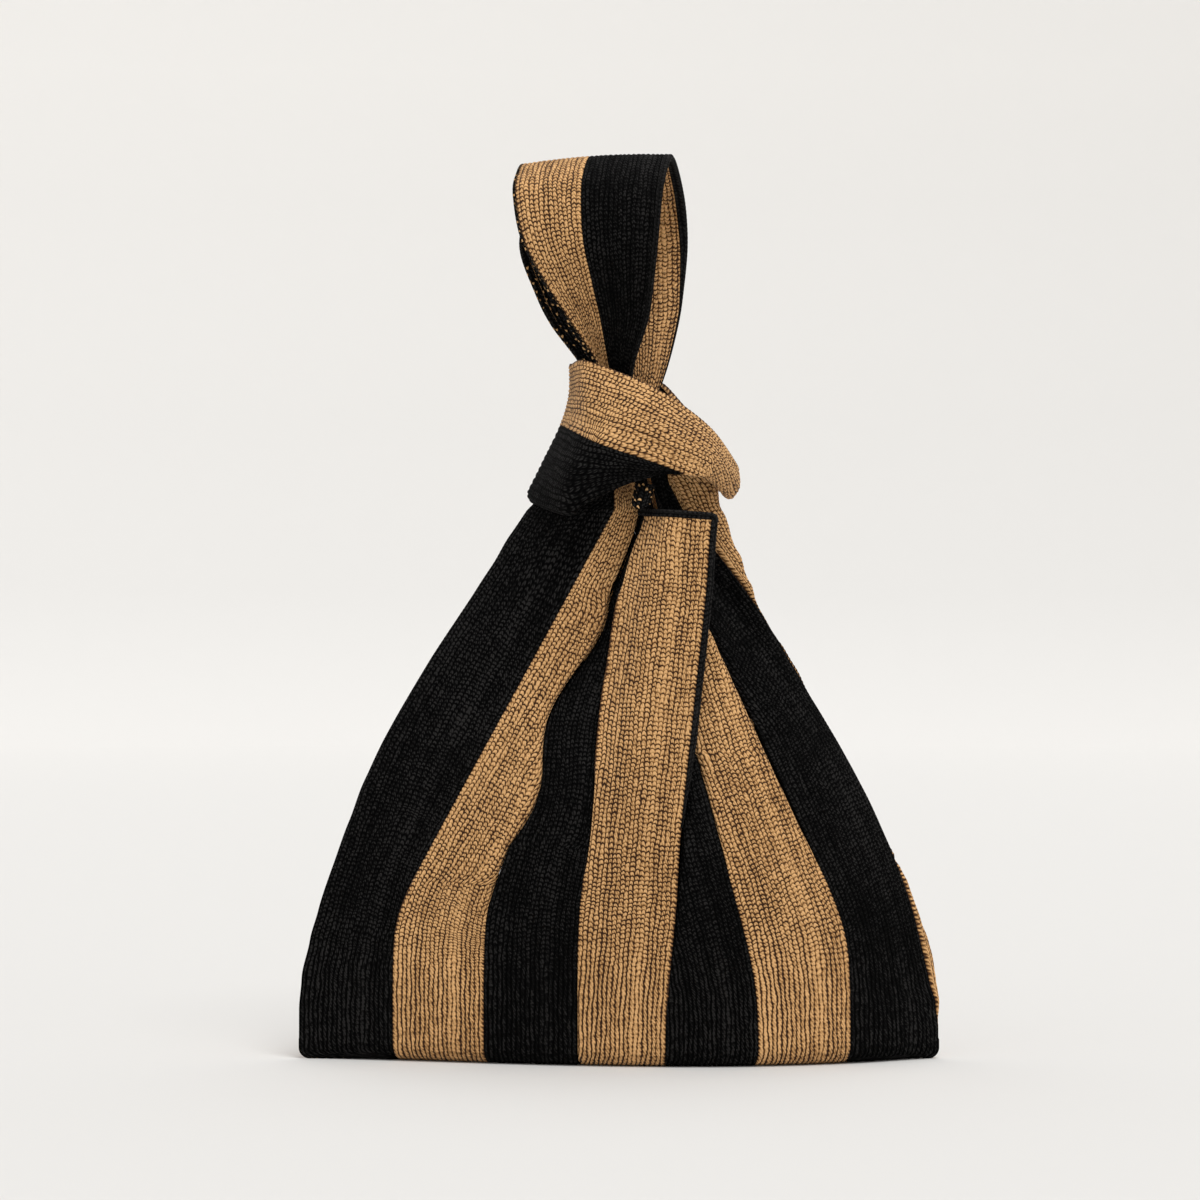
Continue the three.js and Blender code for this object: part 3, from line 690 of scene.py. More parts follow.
@dataclass
class Panel:
    """A length of knit: wales run along it, and spare wales are tucked in at its edges.

    The surface gives a point for a share across and a place along. hide is the share of the
    spare cloth that goes under at the left edge, and the rest goes under at the right. roll is
    the radius of a turned edge: it comes in over roll_run of spare cloth, and takes at most
    roll_share of the width. The courses tilt with the wales from tilt_from to tilt_to. squeeze
    narrows the wales instead of tucking them in. limit moves points that have gone too far, and
    most_hidden gives the most spare cloth at a place for its width. skip_rows and skip_columns
    say how coarse the inner face is.
    """

    name: str
    surface: Surface
    start: float
    end: float
    wales: int
    thickness: float = 2.7
    hide: float = 0.5
    roll: float = 3.5
    roll_run: float = 4.0
    roll_share: float = 0.42
    most_lean: float = 0.85
    spare_room: float = 60.0
    tilt_from: tuple[float, float] = (-NEVER, 1 - NEVER)
    tilt_to: tuple[float, float] = (NEVER, NEVER + 1)
    squeeze: bool = False
    ring: bool = False
    sink: float = 0.06
    clear: float = 0.5
    full_turn: float = 1.5
    overlap: float = 0.25
    skip_rows: int = 6
    skip_columns: int = 6
    stretch: float = 1.0
    scallop: float = 0.0
    first_course: float = 0.0
    row_shift: float = 0.175
    samples: int = 129
    shares: int = 33
    limit: Callable[[Array], Array] | None = None
    most_hidden: Callable[[Array, Array], Array] | None = None

    def __post_init__(self) -> None:
        """Measures the surface once, in tables along the panel."""
        self.places = np.linspace(self.start, self.end, self.samples)
        share = np.linspace(0, 1, self.shares)
        grid = self.surface(share[None, :], self.places[:, None])
        step = np.linalg.norm(np.diff(grid, axis=1), axis=-1)
        reach = np.concatenate([np.zeros((self.samples, 1)), np.cumsum(step, axis=1)], axis=1)
        self.widths = reach[:, -1]
        self.inverse = np.array([np.interp(share, row / row[-1], share) for row in reach])
        across = unit(grid[:, -1] - grid[:, 0])
        rail = self.surface(np.full(self.samples, self.hide), self.places)
        speed = np.gradient(rail, self.places, axis=0)
        self.length = arc_length(rail)
        pace = np.linalg.norm(speed, axis=1)
        lean = np.clip(np.sum(across * speed, axis=1) / pace, -self.most_lean, self.most_lean)
        self.tilts = -lean / pace * self._fade(self.places)
        self.needs = self.wales * GAUGE.wale * self.stretch / np.sqrt(1 - lean * lean)
        if self.most_hidden:
            most = self.most_hidden(self.places, self.widths)
            self.needs = np.minimum(self.needs, self.widths + most)
        self.radii = self._radius(self.needs, self.widths)
        room = ease((2 * self.radii - self.thickness - self.clear) / self.clear)
        self.needs = np.minimum(self.needs, self.widths + self.radii + self.spare_room * room)

    def _fade(self, at: Array) -> Array:
        """Share of the courses' tilt at places along the panel."""
        low, high = self.tilt_from
        down, end = self.tilt_to
        return ease((at - low) / (high - low)) * (1 - ease((at - down) / (end - down)))

    def _read(self, values: Array, at: Array) -> Array:
        """A table along the panel at any places."""
        return np.interp(at, self.places, values)

    def _share(self, even: Array, at: Array) -> Array:
        """Share across the surface for an even share of the width."""
        row = np.clip((at - self.start) / (self.end - self.start), 0, 1) * (self.samples - 1)
        beyond = even - np.clip(even, 0, 1)
        column = (even - beyond) * (self.shares - 1)
        i = np.clip(row.astype(int), 0, self.samples - 2)
        j = np.clip(column.astype(int), 0, self.shares - 2)
        y, x = row - i, column - j
        t = self.inverse
        return mix(mix(t[i, j], t[i, j + 1], x), mix(t[i + 1, j], t[i + 1, j + 1], x), y) + beyond

    def _fold(self, room: Array, radius: Array) -> tuple[Array, Array, Array]:
        """Lays cloth round an edge.

        Args:
            room: Distance along the cloth from where the edge would be if it lay flat.
            radius: Radius of the roll at the edge.

        Returns:
            Distance from the edge, depth behind the face, and angle turned.
        """
        r = np.maximum(radius, 1e-6)
        quarter = r * math.pi / 2
        angle = np.clip((quarter - room) / r, 0, math.pi)
        under = np.maximum(-quarter - room, 0)
        deep = r * (1 - np.cos(angle)) + self.sink * under
        lateral = np.where(room > quarter, room - (quarter - r), r * (1 - np.sin(angle)) + under)
        return lateral, deep, angle * ease(radius / self.full_turn)

    def _radius(self, need: Array, seen: Array) -> Array:
        """Radius of the roll at an edge: none where the cloth lies flat."""
        grown = 1 - np.exp(-np.maximum(need - seen, 0) / self.roll_run)
        return np.minimum(self.roll * grown, self.roll_share * seen)

    def _lay(self, u: Array, at: Array) -> tuple[Array, Array, Array]:
        """Where wale u lies at places along the panel.

        Args:
            u: Wales.
            at: Places.

        Returns:
            Distance across from the left edge, depth behind the face, and signed angle turned.
        """
        seen = self._read(self.widths, at)
        need = self._read(self.needs, at)
        if self.squeeze:
            return u / self.wales * seen, np.zeros_like(seen * u), np.zeros_like(seen * u)
        radius = self._read(self.radii, at)
        left = radius * (self.hide > 0)
        right = radius * (self.hide < 1)
        extra = (math.pi / 2 - 1) * (left + right)
        path = seen + extra
        spare = np.maximum(need - path, 0)
        run = u / self.wales * np.where(need < path, path, need) - self.hide * spare
        near, near_deep, near_turn = self._fold(run, left)
        far, far_deep, far_turn = self._fold(path - run, right)
        first = run < path / 2
        lateral = np.where(first, near, seen - far)
        return lateral, np.where(first, near_deep, far_deep), np.where(first, -near_turn, far_turn)

    def _frame(self, share: Array, at: Array) -> tuple[Array, Array, Array]:
        """Point, outward normal and direction across at places of the surface."""
        point = self.surface(share, at)
        aside = 2e-3
        ahead = (self.end - self.start) * 1e-4
        inner = np.clip(share, aside, 1 - aside)
        across = self.surface(inner + aside, at) - self.surface(inner - aside, at)
        along = self.surface(inner, at + ahead) - self.surface(inner, at - ahead)
        return point, unit(np.cross(across, along)), unit(across)

    def row_places(self) -> Array:
        """Places of the rows of points."""
        total = self.length[-1]
        courses = max(2, round(total / GAUGE.course))
        marks = np.linspace(0, total, ROWS_PER_COURSE * courses + 1)
        if self.ring:
            marks = marks[:-1]
        return np.interp(marks, self.length, self.places)

    def grids(self) -> tuple[Array, Array, Array, Array]:
        """The outer and the inner face of the cloth.

        Returns:
            Outer points, inner points, wales and courses.
        """
        rows = self.row_places()
        columns = np.arange(POINTS_PER_WALE * self.wales + 1) / POINTS_PER_WALE
        at = np.broadcast_to(rows[:, None], (len(rows), len(columns))).copy()
        u = np.broadcast_to(columns[None, :], at.shape)
        courses = np.arange(len(rows)) / ROWS_PER_COURSE + self.row_shift
        v = np.broadcast_to(courses[:, None], at.shape)
        lateral = self._lay(u, at)[0]
        anchor = self.hide * self._read(self.widths, at)
        at = at + self._read(self.tilts, at) * (lateral - anchor)
        if not self.ring:
            at = np.clip(at, self.start, self.end)
        lateral, deep, turned = self._lay(u, at)
        seen = self._read(self.widths, at)
        point, normal, across = self._frame(self._share(lateral / seen, at), at)
        base = point - normal * deep[..., None]
        shift_u, shift_v = GAUGE.wobble(u, v + self.first_course)
        wale, course = u + shift_u * self._inside(u), v + shift_v
        rise = GAUGE.height(wale, course, GAUGE.row_strength(base[..., 2]))
        out = normal * np.cos(turned)[..., None] + across * np.sin(turned)[..., None]
        side = unit(across * np.cos(turned)[..., None] - normal * np.sin(turned)[..., None])
        edge = self._edge_shift(u, v)
        outer = base + out * (GAUGE.relief * (rise - 1))[..., None] + side * edge[..., None]
        under = GAUGE.height(u + 0.5, v) - 1 if self.skip_rows == 1 else 0 * rise
        inner = base - out * (self.thickness + GAUGE.relief * under)[..., None]
        if self.limit:
            outer, inner = self.limit(outer), self.limit(inner)
        return outer, inner, wale, course

    def _inside(self, u: Array) -> Array:
        """1 inside the panel, falling to 0 at its two edges."""
        return ease(np.minimum(u, self.wales - u))

    def _edge_shift(self, u: Array, v: Array) -> Array:
        """The outermost points step out and in with every course, as knitted edges do."""
        sway = self.overlap + self.scallop * (0.5 + 0.5 * np.cos(2 * math.pi * v))
        return np.where(u == 0, -sway, 0) + np.where(u == self.wales, sway, 0)

    def build(self, tones: Array | int = 0, inner_tone: int = 1) -> bpy.types.Object:
        """Makes the closed shell of cloth.

        Args:
            tones: Material index of each column of outer faces, or of all.
            inner_tone: Material index of the inner face.

        Returns:
            The new object.
        """
        outer, inner, u, v = self.grids()
        quilt = Quilt()
        top = quilt.add_grid(outer, u, v)
        rows, columns = top.shape
        i = sorted({*range(0, rows - 1, self.skip_rows), rows - 1})
        j = sorted({*range(0, columns - 1, self.skip_columns), columns - 1})
        pick = np.ix_(i, j)
        low = quilt.add_grid(inner[pick], u[pick] + 0.5, v[pick])
        tones = np.broadcast_to(np.asarray(tones), (columns - 1,))
        quilt.add_faces(top, tones, ring=self.ring)
        quilt.add_faces(low, np.full(low.shape[1] - 1, inner_tone), flip=True, ring=self.ring)
        self._add_walls(quilt, top, low, (i, j), tones)
        turn = float(round(rows / ROWS_PER_COURSE)) if self.ring else 0.0
        return quilt.mesh(self.name, turn=turn)

    def _add_walls(
        self, quilt: Quilt, top: Array, low: Array, picks: tuple[list[int], list[int]], tones: Array
    ) -> None:
        """Joins the two faces round the border.

        Args:
            quilt: The mesh.
            top: Vertex numbers of the outer face.
            low: Vertex numbers of the inner face.
            picks: Rows and columns of the outer face that the inner face has.
            tones: Material index of each column of outer faces.
        """
        i, j = picks
        first, last = int(tones[0]), int(tones[-1])
        for k, (a, b) in enumerate(zip(i, i[1:])):
            quilt.add_polygon(top[a : b + 1, -1][::-1], low[k : k + 2, -1], tone=last)
            quilt.add_polygon(top[a : b + 1, 0], low[k : k + 2, 0][::-1], tone=first)
        if self.ring:
            quilt.add_polygon(top[[0, -1], -1], low[[-1, 0], -1], tone=last)
            quilt.add_polygon(top[[-1, 0], 0], low[[0, -1], 0], tone=first)
            return
        for k, (a, b) in enumerate(zip(j, j[1:])):
            tone = int(tones[a])
            quilt.add_polygon(top[0, a : b + 1][::-1], low[0, k : k + 2], tone=tone)
            quilt.add_polygon(top[-1, a : b + 1], low[-1, k : k + 2][::-1], tone=tone)

    def flat_size(self) -> tuple[float, float]:
        """Width and length of the cloth laid flat, in metres."""
        return self.wales * GAUGE.wale * MM, float(self.length[-1]) * MM


@dataclass
class Cord:
    """A thick edge of knit with a rounded section that follows a path.

    girth scales the section along the path. back_tone is the material on the side that faces
    away from the angle tone_turn, beyond the cosine tone_edge.
    """

    name: str
    path: Array
    outward: Array
    half_out: float
    half_up: float
    wales: int = 4
    around: int = 16
    rows_per_course: int = 3
    squareness: float = 0.7
    groove: float = 0.16
    girth: Array | None = None
    back_tone: int = 0
    tone_turn: float = 0.0
    tone_edge: float = -0.1

    def build(self) -> bpy.types.Object:
        """Makes the closed, capped tube with its stitches.

        Returns:
            The new object.
        """
        length = arc_length(self.path)
        count = max(4, self.rows_per_course * round(length[-1] / GAUGE.course))
        marks = np.linspace(0, length[-1], count + 1)
        path, out = (
            np.stack([np.interp(marks, length, row) for row in rows.T], -1)
            for rows in (self.path, self.outward)
        )
        along = unit(np.gradient(path, axis=0))
        out = unit(out - along * np.sum(out * along, axis=1, keepdims=True))
        up = np.cross(along, out)
        angle = np.linspace(0, 2 * math.pi, self.around, endpoint=False)
        x, y = (
            np.sign(wave) * np.abs(wave) ** self.squareness * half
            for wave, half in ((np.cos(angle), self.half_out), (np.sin(angle), self.half_up))
        )
        u = np.broadcast_to(angle[None, :] / (2 * math.pi) * self.wales, (count + 1, self.around))
        v = np.broadcast_to((marks / GAUGE.course)[:, None], u.shape)
        shrink = 1 - self.groove * (1 - GAUGE.height(u, v))
        if self.girth is not None:
            shrink = shrink * np.interp(marks, length, self.girth)[:, None]
        points = path[:, None] + shrink[..., None] * (
            out[:, None] * x[None, :, None] + up[:, None] * y[None, :, None]
        )
        facing = np.cos(angle + math.pi / self.around - self.tone_turn)
        quilt = Quilt()
        quilt.add_tube(points, u, v, np.where(facing < self.tone_edge, self.back_tone, 0))
        return quilt.mesh(self.name)


# The bag's own shape, as the solids have it


@dataclass(frozen=True)
class Edge:
    """One edge between two stripes, by its place across the bag.

    It starts at base stripes and shift from the middle, leans from the height start to its place
    at the shoulder, and ends at its place at the neck. hidden is the height from which it runs
    out of sight, and where to. tune adds to the place, by height.
    """

    base: float
    shift: float
    shoulder: float
    start: float
    bend: float
    neck: float
    hidden: tuple[float, float] | None = None
    tune: Table = ((0, 0), (1, 0))


LEFT_TUNE = (
    (20, 0), (32, 0.8), (48, 2.8), (60, 3.7), (80, 4.1), (97, 3.6), (113, 2.4), (130, 1.9), (160, 2.2),
    (186, 2.8), (200, 2.4), (213, 1.0), (225, 0.4),
)
RIGHT_TUNE = (
    (12, 0), (22, -0.9), (32, -3.0), (40, -3.7), (48, -4.0), (64, -3.6), (78, -3.3), (90, -3.1), (105, -2.8),
    (146, -2.8), (160, -2.0), (172, -0.9), (186, 0),
)
MIDDLE_TUNE = ((60, 0), (93, 1.5), (157, -1.4), (186, -2.7), (204, -2.2), (222, 0))
EDGES = [
    Edge(-3.5, 0, -38.2, 30, 1.5, -12, tune=LEFT_TUNE),
    Edge(-2.5, 1.4, -1.6, 52, 1, -2),
    Edge(-1.5, 1.2, 7.5, 55, 1, 4, tune=((184, 0), (197, 2.7), (210, 3.0), (223, 1.7))),
    Edge(-0.5, 1.6, 10.5, 20, 1.8, 7, tune=MIDDLE_TUNE),
    Edge(0.5, -0.5, 38, 15, 1, 38, tune=((60, 0), (93, -1.2), (186, -0.8), (222, -1.8))),
    Edge(1.5, 0, 3.6, 25, 1, 8, (125, 14.5)),
    Edge(2.5, 0, 15.5, 45, 1, 10, (182, 15.5)),
    Edge(3.5, 0, 25.8, 20, 1.53, 12, tune=RIGHT_TUNE),
]
BEHIND_EDGES = [*EDGES[:4], Edge(0.5, -0.5, 38, 15, 1, 6, (105, 14)), *EDGES[5:]]
BACK_EDGES = [
    EDGES[7],
    Edge(2.5, 0, 27, 35, 1.2, 11),
    Edge(1.5, 0, 17, 30, 1.1, 8),
    Edge(0.5, 0, 7, 20, 1, 5),
    Edge(-0.5, 0, -7, 20, 1, 1),
    Edge(-1.5, 0, -17, 30, 1.1, -4),
    Edge(-2.5, 0, -26, 35, 1.2, -8),
    EDGES[0],
]


@dataclass
class BagShape:
    """The closed bag's surface by stripe, share across it and height over the rim.

    pleat is the front stripe that folds over its right neighbour, and mouth are the stripes that
    end at the mouth. A pair that ends in from or to is a height and a run.
    """

    stripe: float = 37.14
    stripes: int = 7
    pleat: int = 3
    mouth: tuple[int, ...] = (2, 3, 4)
    gap: float = 0.3
    apart: float = 0.1
    base_depth: float = 32.0
    belly_depth: float = 36.0
    belly_z: float = 85.0
    shoulder_z: float = 223.0
    shoulder_depth: float = 22.0
    neck_z: float = 248.0
    neck_depth: float = 11.0
    rim: float = 8.0
    corner_radius: float = 4.5
    corner_share: float = 0.8
    seam_half: float = 5.0
    seam_end: float = 33.0
    bulge_skew: float = 0.24
    shoulder_fullness: float = 0.6
    ridge_start_z: float = 130.0
    ridge_forward: float = 14.0
    pleat_lift: float = 14.0
    pleat_start_z: float = 50.0
    pleat_run: float = 70.0
    pleat_turn: float = 0.4
    pleat_root: float = 0.6
    pleat_root_share: float = 0.3
    fold_start_z: float = 96.0
    hem_z: float = 222.0
    hem_height: float = 3.5
    hem_drop: tuple[float, float] = (2.0, 3.8)
    mouth_back_z: float = 226.0
    ripple: tuple[float, float, float, float] = (4.0, 88.0, 70.0, 193.0)
    strap_side: Table = (
        (0, 0.4), (14, 2.0), (23, 5.4), (31, 7.3), (40, 8.0), (48, 7.7), (56, 6.0), (64, 5.2), (72, 5.0),
        (77, 3.2), (83, 0), (92, -3.5), (120, -5), (150, -2.5), (165, 0),
        (182, 1.2), (194, 6), (206, 10), (223, 15.5), (233, 19), (248, 3),
    )
    bend_soft: float = 0.04
    rim_pull: float = 3.3
    pull_place: float = 95.0
    side_inset: float = 1.2
    side_round: float = 0.34
    side_lift: float = 0.4
    side_power: float = 6.0
    side_from: tuple[float, float] = (80.0, 10.0)
    side_to: tuple[float, float] = (145.0, 15.0)
    plain_from: tuple[float, float] = (85.0, 60.0)
    valley: float = 7.0
    valley_from: float = 104.0
    valley_run: float = 80.0
    valley_lap: float = 0.4
    right_valley: float = 8.0
    right_valley_from: float = 135.0
    right_valley_run: float = 60.0
    sag_from: float = 150.0

    @property
    def half_width(self) -> float:
        """Half the width of the bag at its base."""
        return self.stripes * self.stripe / 2

    @property
    def rim_run(self) -> float:
        """Length of the cloth round the rim."""
        return self.rim * math.pi / 2

    def _soft(self, t: Array) -> Array:
        """A ramp from 0 to 1 whose lower bend is rounded."""
        low = self.bend_soft * np.logaddexp(0, t / self.bend_soft - 1)
        return np.clip(low / (1 - self.bend_soft), 0, 1)

    def edge_x(self, edge: Edge, z: Array) -> Array:
        """Place across the bag of a stripe's edge at heights."""
        base = edge.base * self.stripe + edge.shift
        lean = self._soft((z - edge.start) / (self.shoulder_z - edge.start)) ** edge.bend
        depth, start, run, end = self.ripple
        rippled = (z > start) & (z < end) & (edge is EDGES[2])
        ripple = np.where(rippled, depth * np.sin(2 * math.pi * (z - start) / run), 0)
        place = mix(base, edge.shoulder, lean) + ripple + table(edge.tune, z)
        if edge.hidden:
            start, end = edge.hidden
            share = ((start - edge.start) / (self.shoulder_z - edge.start)) ** edge.bend
            seen = mix(base, edge.shoulder, share)
            behind = mix(seen, end, np.clip((z - start) / (self.shoulder_z - start), 0, 1))
            place = np.where(z > start, behind, place)
        return mix(place, edge.neck, self._over(z))

    def _over(self, z: Array) -> Array:
        """0 up to the shoulder and 1 at the neck."""
        return np.clip((z - self.shoulder_z) / (self.neck_z - self.shoulder_z), 0, 1)

    def half_depth(self, z: Array) -> Array:
        """Half depth of the bag at heights."""
        low = mix(self.base_depth, self.belly_depth, ease(z / self.belly_z))
        rise = ease((z - self.belly_z) / (self.shoulder_z - self.belly_z))
        high = mix(self.belly_depth, self.shoulder_depth, rise)
        top = mix(self.shoulder_depth, self.neck_depth, self._over(z))
        return np.where(z < self.belly_z, low, np.where(z < self.shoulder_z, high, top))

    def lens(self, across: Array, z: Array) -> Array:
        """Smooth cushion outline of the section, -1 to 1 across."""
        skewed = across - self.bulge_skew * (1 - across * across)
        fullness = mix(1.0, self.shoulder_fullness, ease(z / self.shoulder_z))
        return np.maximum(1e-9, 1 - skewed * skewed) ** fullness

    def ridge_front(self, z: Array) -> Array:
        """How far the ridge at the right lies in front of the side."""
        run = (z - self.ridge_start_z) / (self.shoulder_z - self.ridge_start_z)
        return self.gap / 2 + self.ridge_forward * ease(run)

    def across(self, x: Array, z: Array) -> Array:
        """Place across the bag from -1 at the left side to 1 at the right."""
        left, right = self.edge_x(EDGES[0], z), self.edge_x(EDGES[-1], z)
        return np.clip(2 * (x - left) / (right - left) - 1, -1, 1)

    def side(self, across: Array, z: Array) -> Array:
        """How far the surface where front and back would meet lies before the middle."""
        return mix(self.gap / 2, self.ridge_front(z), ease((across + 1) / 2))

    def keep(self, is_front: bool, points: Array) -> Array:
        """Moves points that have crossed to the other side of the bag back to their own."""
        x, y, z = points[..., 0], points[..., 1], points[..., 2]
        middle = -self.side(self.across(x, z), z)
        y = np.minimum(y, middle - self.apart) if is_front else np.maximum(y, middle + self.apart)
        return np.stack([x, y, z], -1)

    def front_y(self, x: Array, z: Array) -> Array:
        """The plain front's surface."""
        across = self.across(x, z)
        side = self.side(across, z)
        return -side - (self.half_depth(z) - side) * self.lens(across, z)

    def pleat_rise(self, u: Array, x: Array, z: Array) -> Array:
        """How far the centre pleat stands proud, at u stripes from the left."""
        rise = ease((z - self.pleat_start_z) / (self.hem_z - self.pleat_start_z))
        into = u - self.pleat
        beside = np.clip(into / self.pleat_root + 1, 0, 1) * self.pleat_root_share
        over = mix(self.pleat_root_share, 1.0, ease(into / self.pleat_turn))
        share = np.where(u <= self.pleat, beside, over)
        proud = self.half_depth(z) + self.pleat_lift * rise + self.front_y(x, z)
        return proud * share * ease((z - self.pleat_start_z) / self.pleat_run)

    def drop(self, share: Array, z: Array) -> Array:
        """How far the pleat's cloth hangs below the straight hem at heights."""
        return mix(*self.hem_drop, share) * ease((z - self.sag_from) / (self.hem_z - self.sag_from))

    def front(self, index: int, share: Array, z: Array) -> tuple[Array, Array]:
        """Place across and in depth of a front stripe."""
        edges = EDGES if index <= self.pleat else BEHIND_EDGES
        x = mix(self.edge_x(edges[index], z), self.edge_x(edges[index + 1], z), share)
        y = self.front_y(x, z)
        if index <= self.pleat:
            y = y - self.pleat_rise(index + share, x, z)
        sunk = self.valley * ease((z - self.valley_from) / self.valley_run)
        if index == self.pleat - 2:
            y = y + self.valley_lap * sunk * np.clip(share, 0, 1) ** 2
        if index == self.pleat - 1:
            y = y + sunk
        if index == self.stripes - 1:
            bowl = np.sin(math.pi * np.clip(share, 0, 1))
            y = y + self.right_valley * bowl * ease((z - self.right_valley_from) / self.right_valley_run)
        return x, y

    def back(self, index: int, share: Array, z: Array) -> tuple[Array, Array]:
        """Place across and in depth of a back stripe, from the right side."""
        left = self.edge_x(BACK_EDGES[-1], z)
        strap = table(self.strap_side, z)
        right = self.edge_x(BACK_EDGES[0], z) + np.maximum(0, strap)
        x = mix(self.edge_x(BACK_EDGES[index], z), self.edge_x(BACK_EDGES[index + 1], z), share)
        across = np.clip(2 * (x - left) / (right - left) - 1, -1, 1)
        plain = self.gap / 2 + (self.half_depth(z) - self.gap / 2) * self.lens(-across, z)
        seen = np.clip(share, 0, 1)
        if index == self.stripes - 1:
            return x + self.side_inset * seen**self.side_power, plain
        if index:
            return x, plain
        ramps = (self.side_from, self.side_to, self.plain_from)
        start, stop, high = (ease((z - low) / run) for low, run in ramps)
        tucked = self.side_inset * (1 - seen) ** self.side_power * start * (1 - stop)
        bulge = np.sin(math.pi * np.sqrt(seen)) * strap
        lift = self.side_lift * np.maximum(0, bulge) * (1 - high)
        inward = mix(self.gap - self.ridge_front(z), plain, seen ** mix(self.side_round, 1.0, high))
        return x + bulge - tucked, inward + lift

    def opening(self, x: Array) -> Array:
        """Half width of the opening for the seam band under the base."""
        half = self.half_width - self.seam_end
        return self.seam_half * np.sqrt(np.maximum(0, 1 - (x / half) ** 2)) + self.gap

    def pull(self, x: Array) -> Array:
        """How far the cloth is drawn towards the middle where it turns under the base."""
        side = np.clip((np.abs(x) - self.pull_place) / (self.half_width - self.pull_place), 0, 1)
        return self.rim_pull * np.clip(x / self.pull_place, -1, 1) * (1 - ease(side))

    def point(self, is_front: bool, index: int, share: Array, h: Array) -> Array:
        """A point of the outer face: h is the height over the rim, and below 0 runs round it."""
        z = self.rim + np.maximum(h, 0)
        x, y = (self.front if is_front else self.back)(index, share, z)
        x, y, z, h = np.broadcast_arrays(x, y, z, h)
        angle = np.clip(1 + h / self.rim_run, 0, 1) * math.pi / 2
        height = self.rim * (1 - np.cos(angle)) + np.maximum(h, 0)
        seam = self.opening(x)
        deep = np.maximum(np.abs(y), seam)
        rim = np.minimum(self.rim, deep - seam)
        sign = -1.0 if is_front else 1.0
        reach = sign * (deep - rim * (1 - np.sin(angle)))
        drop = np.clip((self.corner_radius - height) / self.corner_radius, 0, 1)
        near = ease((np.abs(x) / self.half_width - self.corner_share) / (1 - self.corner_share))
        drawn = np.sign(x) * self.corner_radius * (1 - np.sqrt(1 - drop * drop)) * near
        drawn = drawn + self.pull(x) * (1 - np.sin(angle))
        if is_front and index == self.pleat:
            height = height - self.drop(np.clip(share, 0, 1), z)
        return np.stack([x - drawn, np.where(h < 0, reach, y), height], -1)


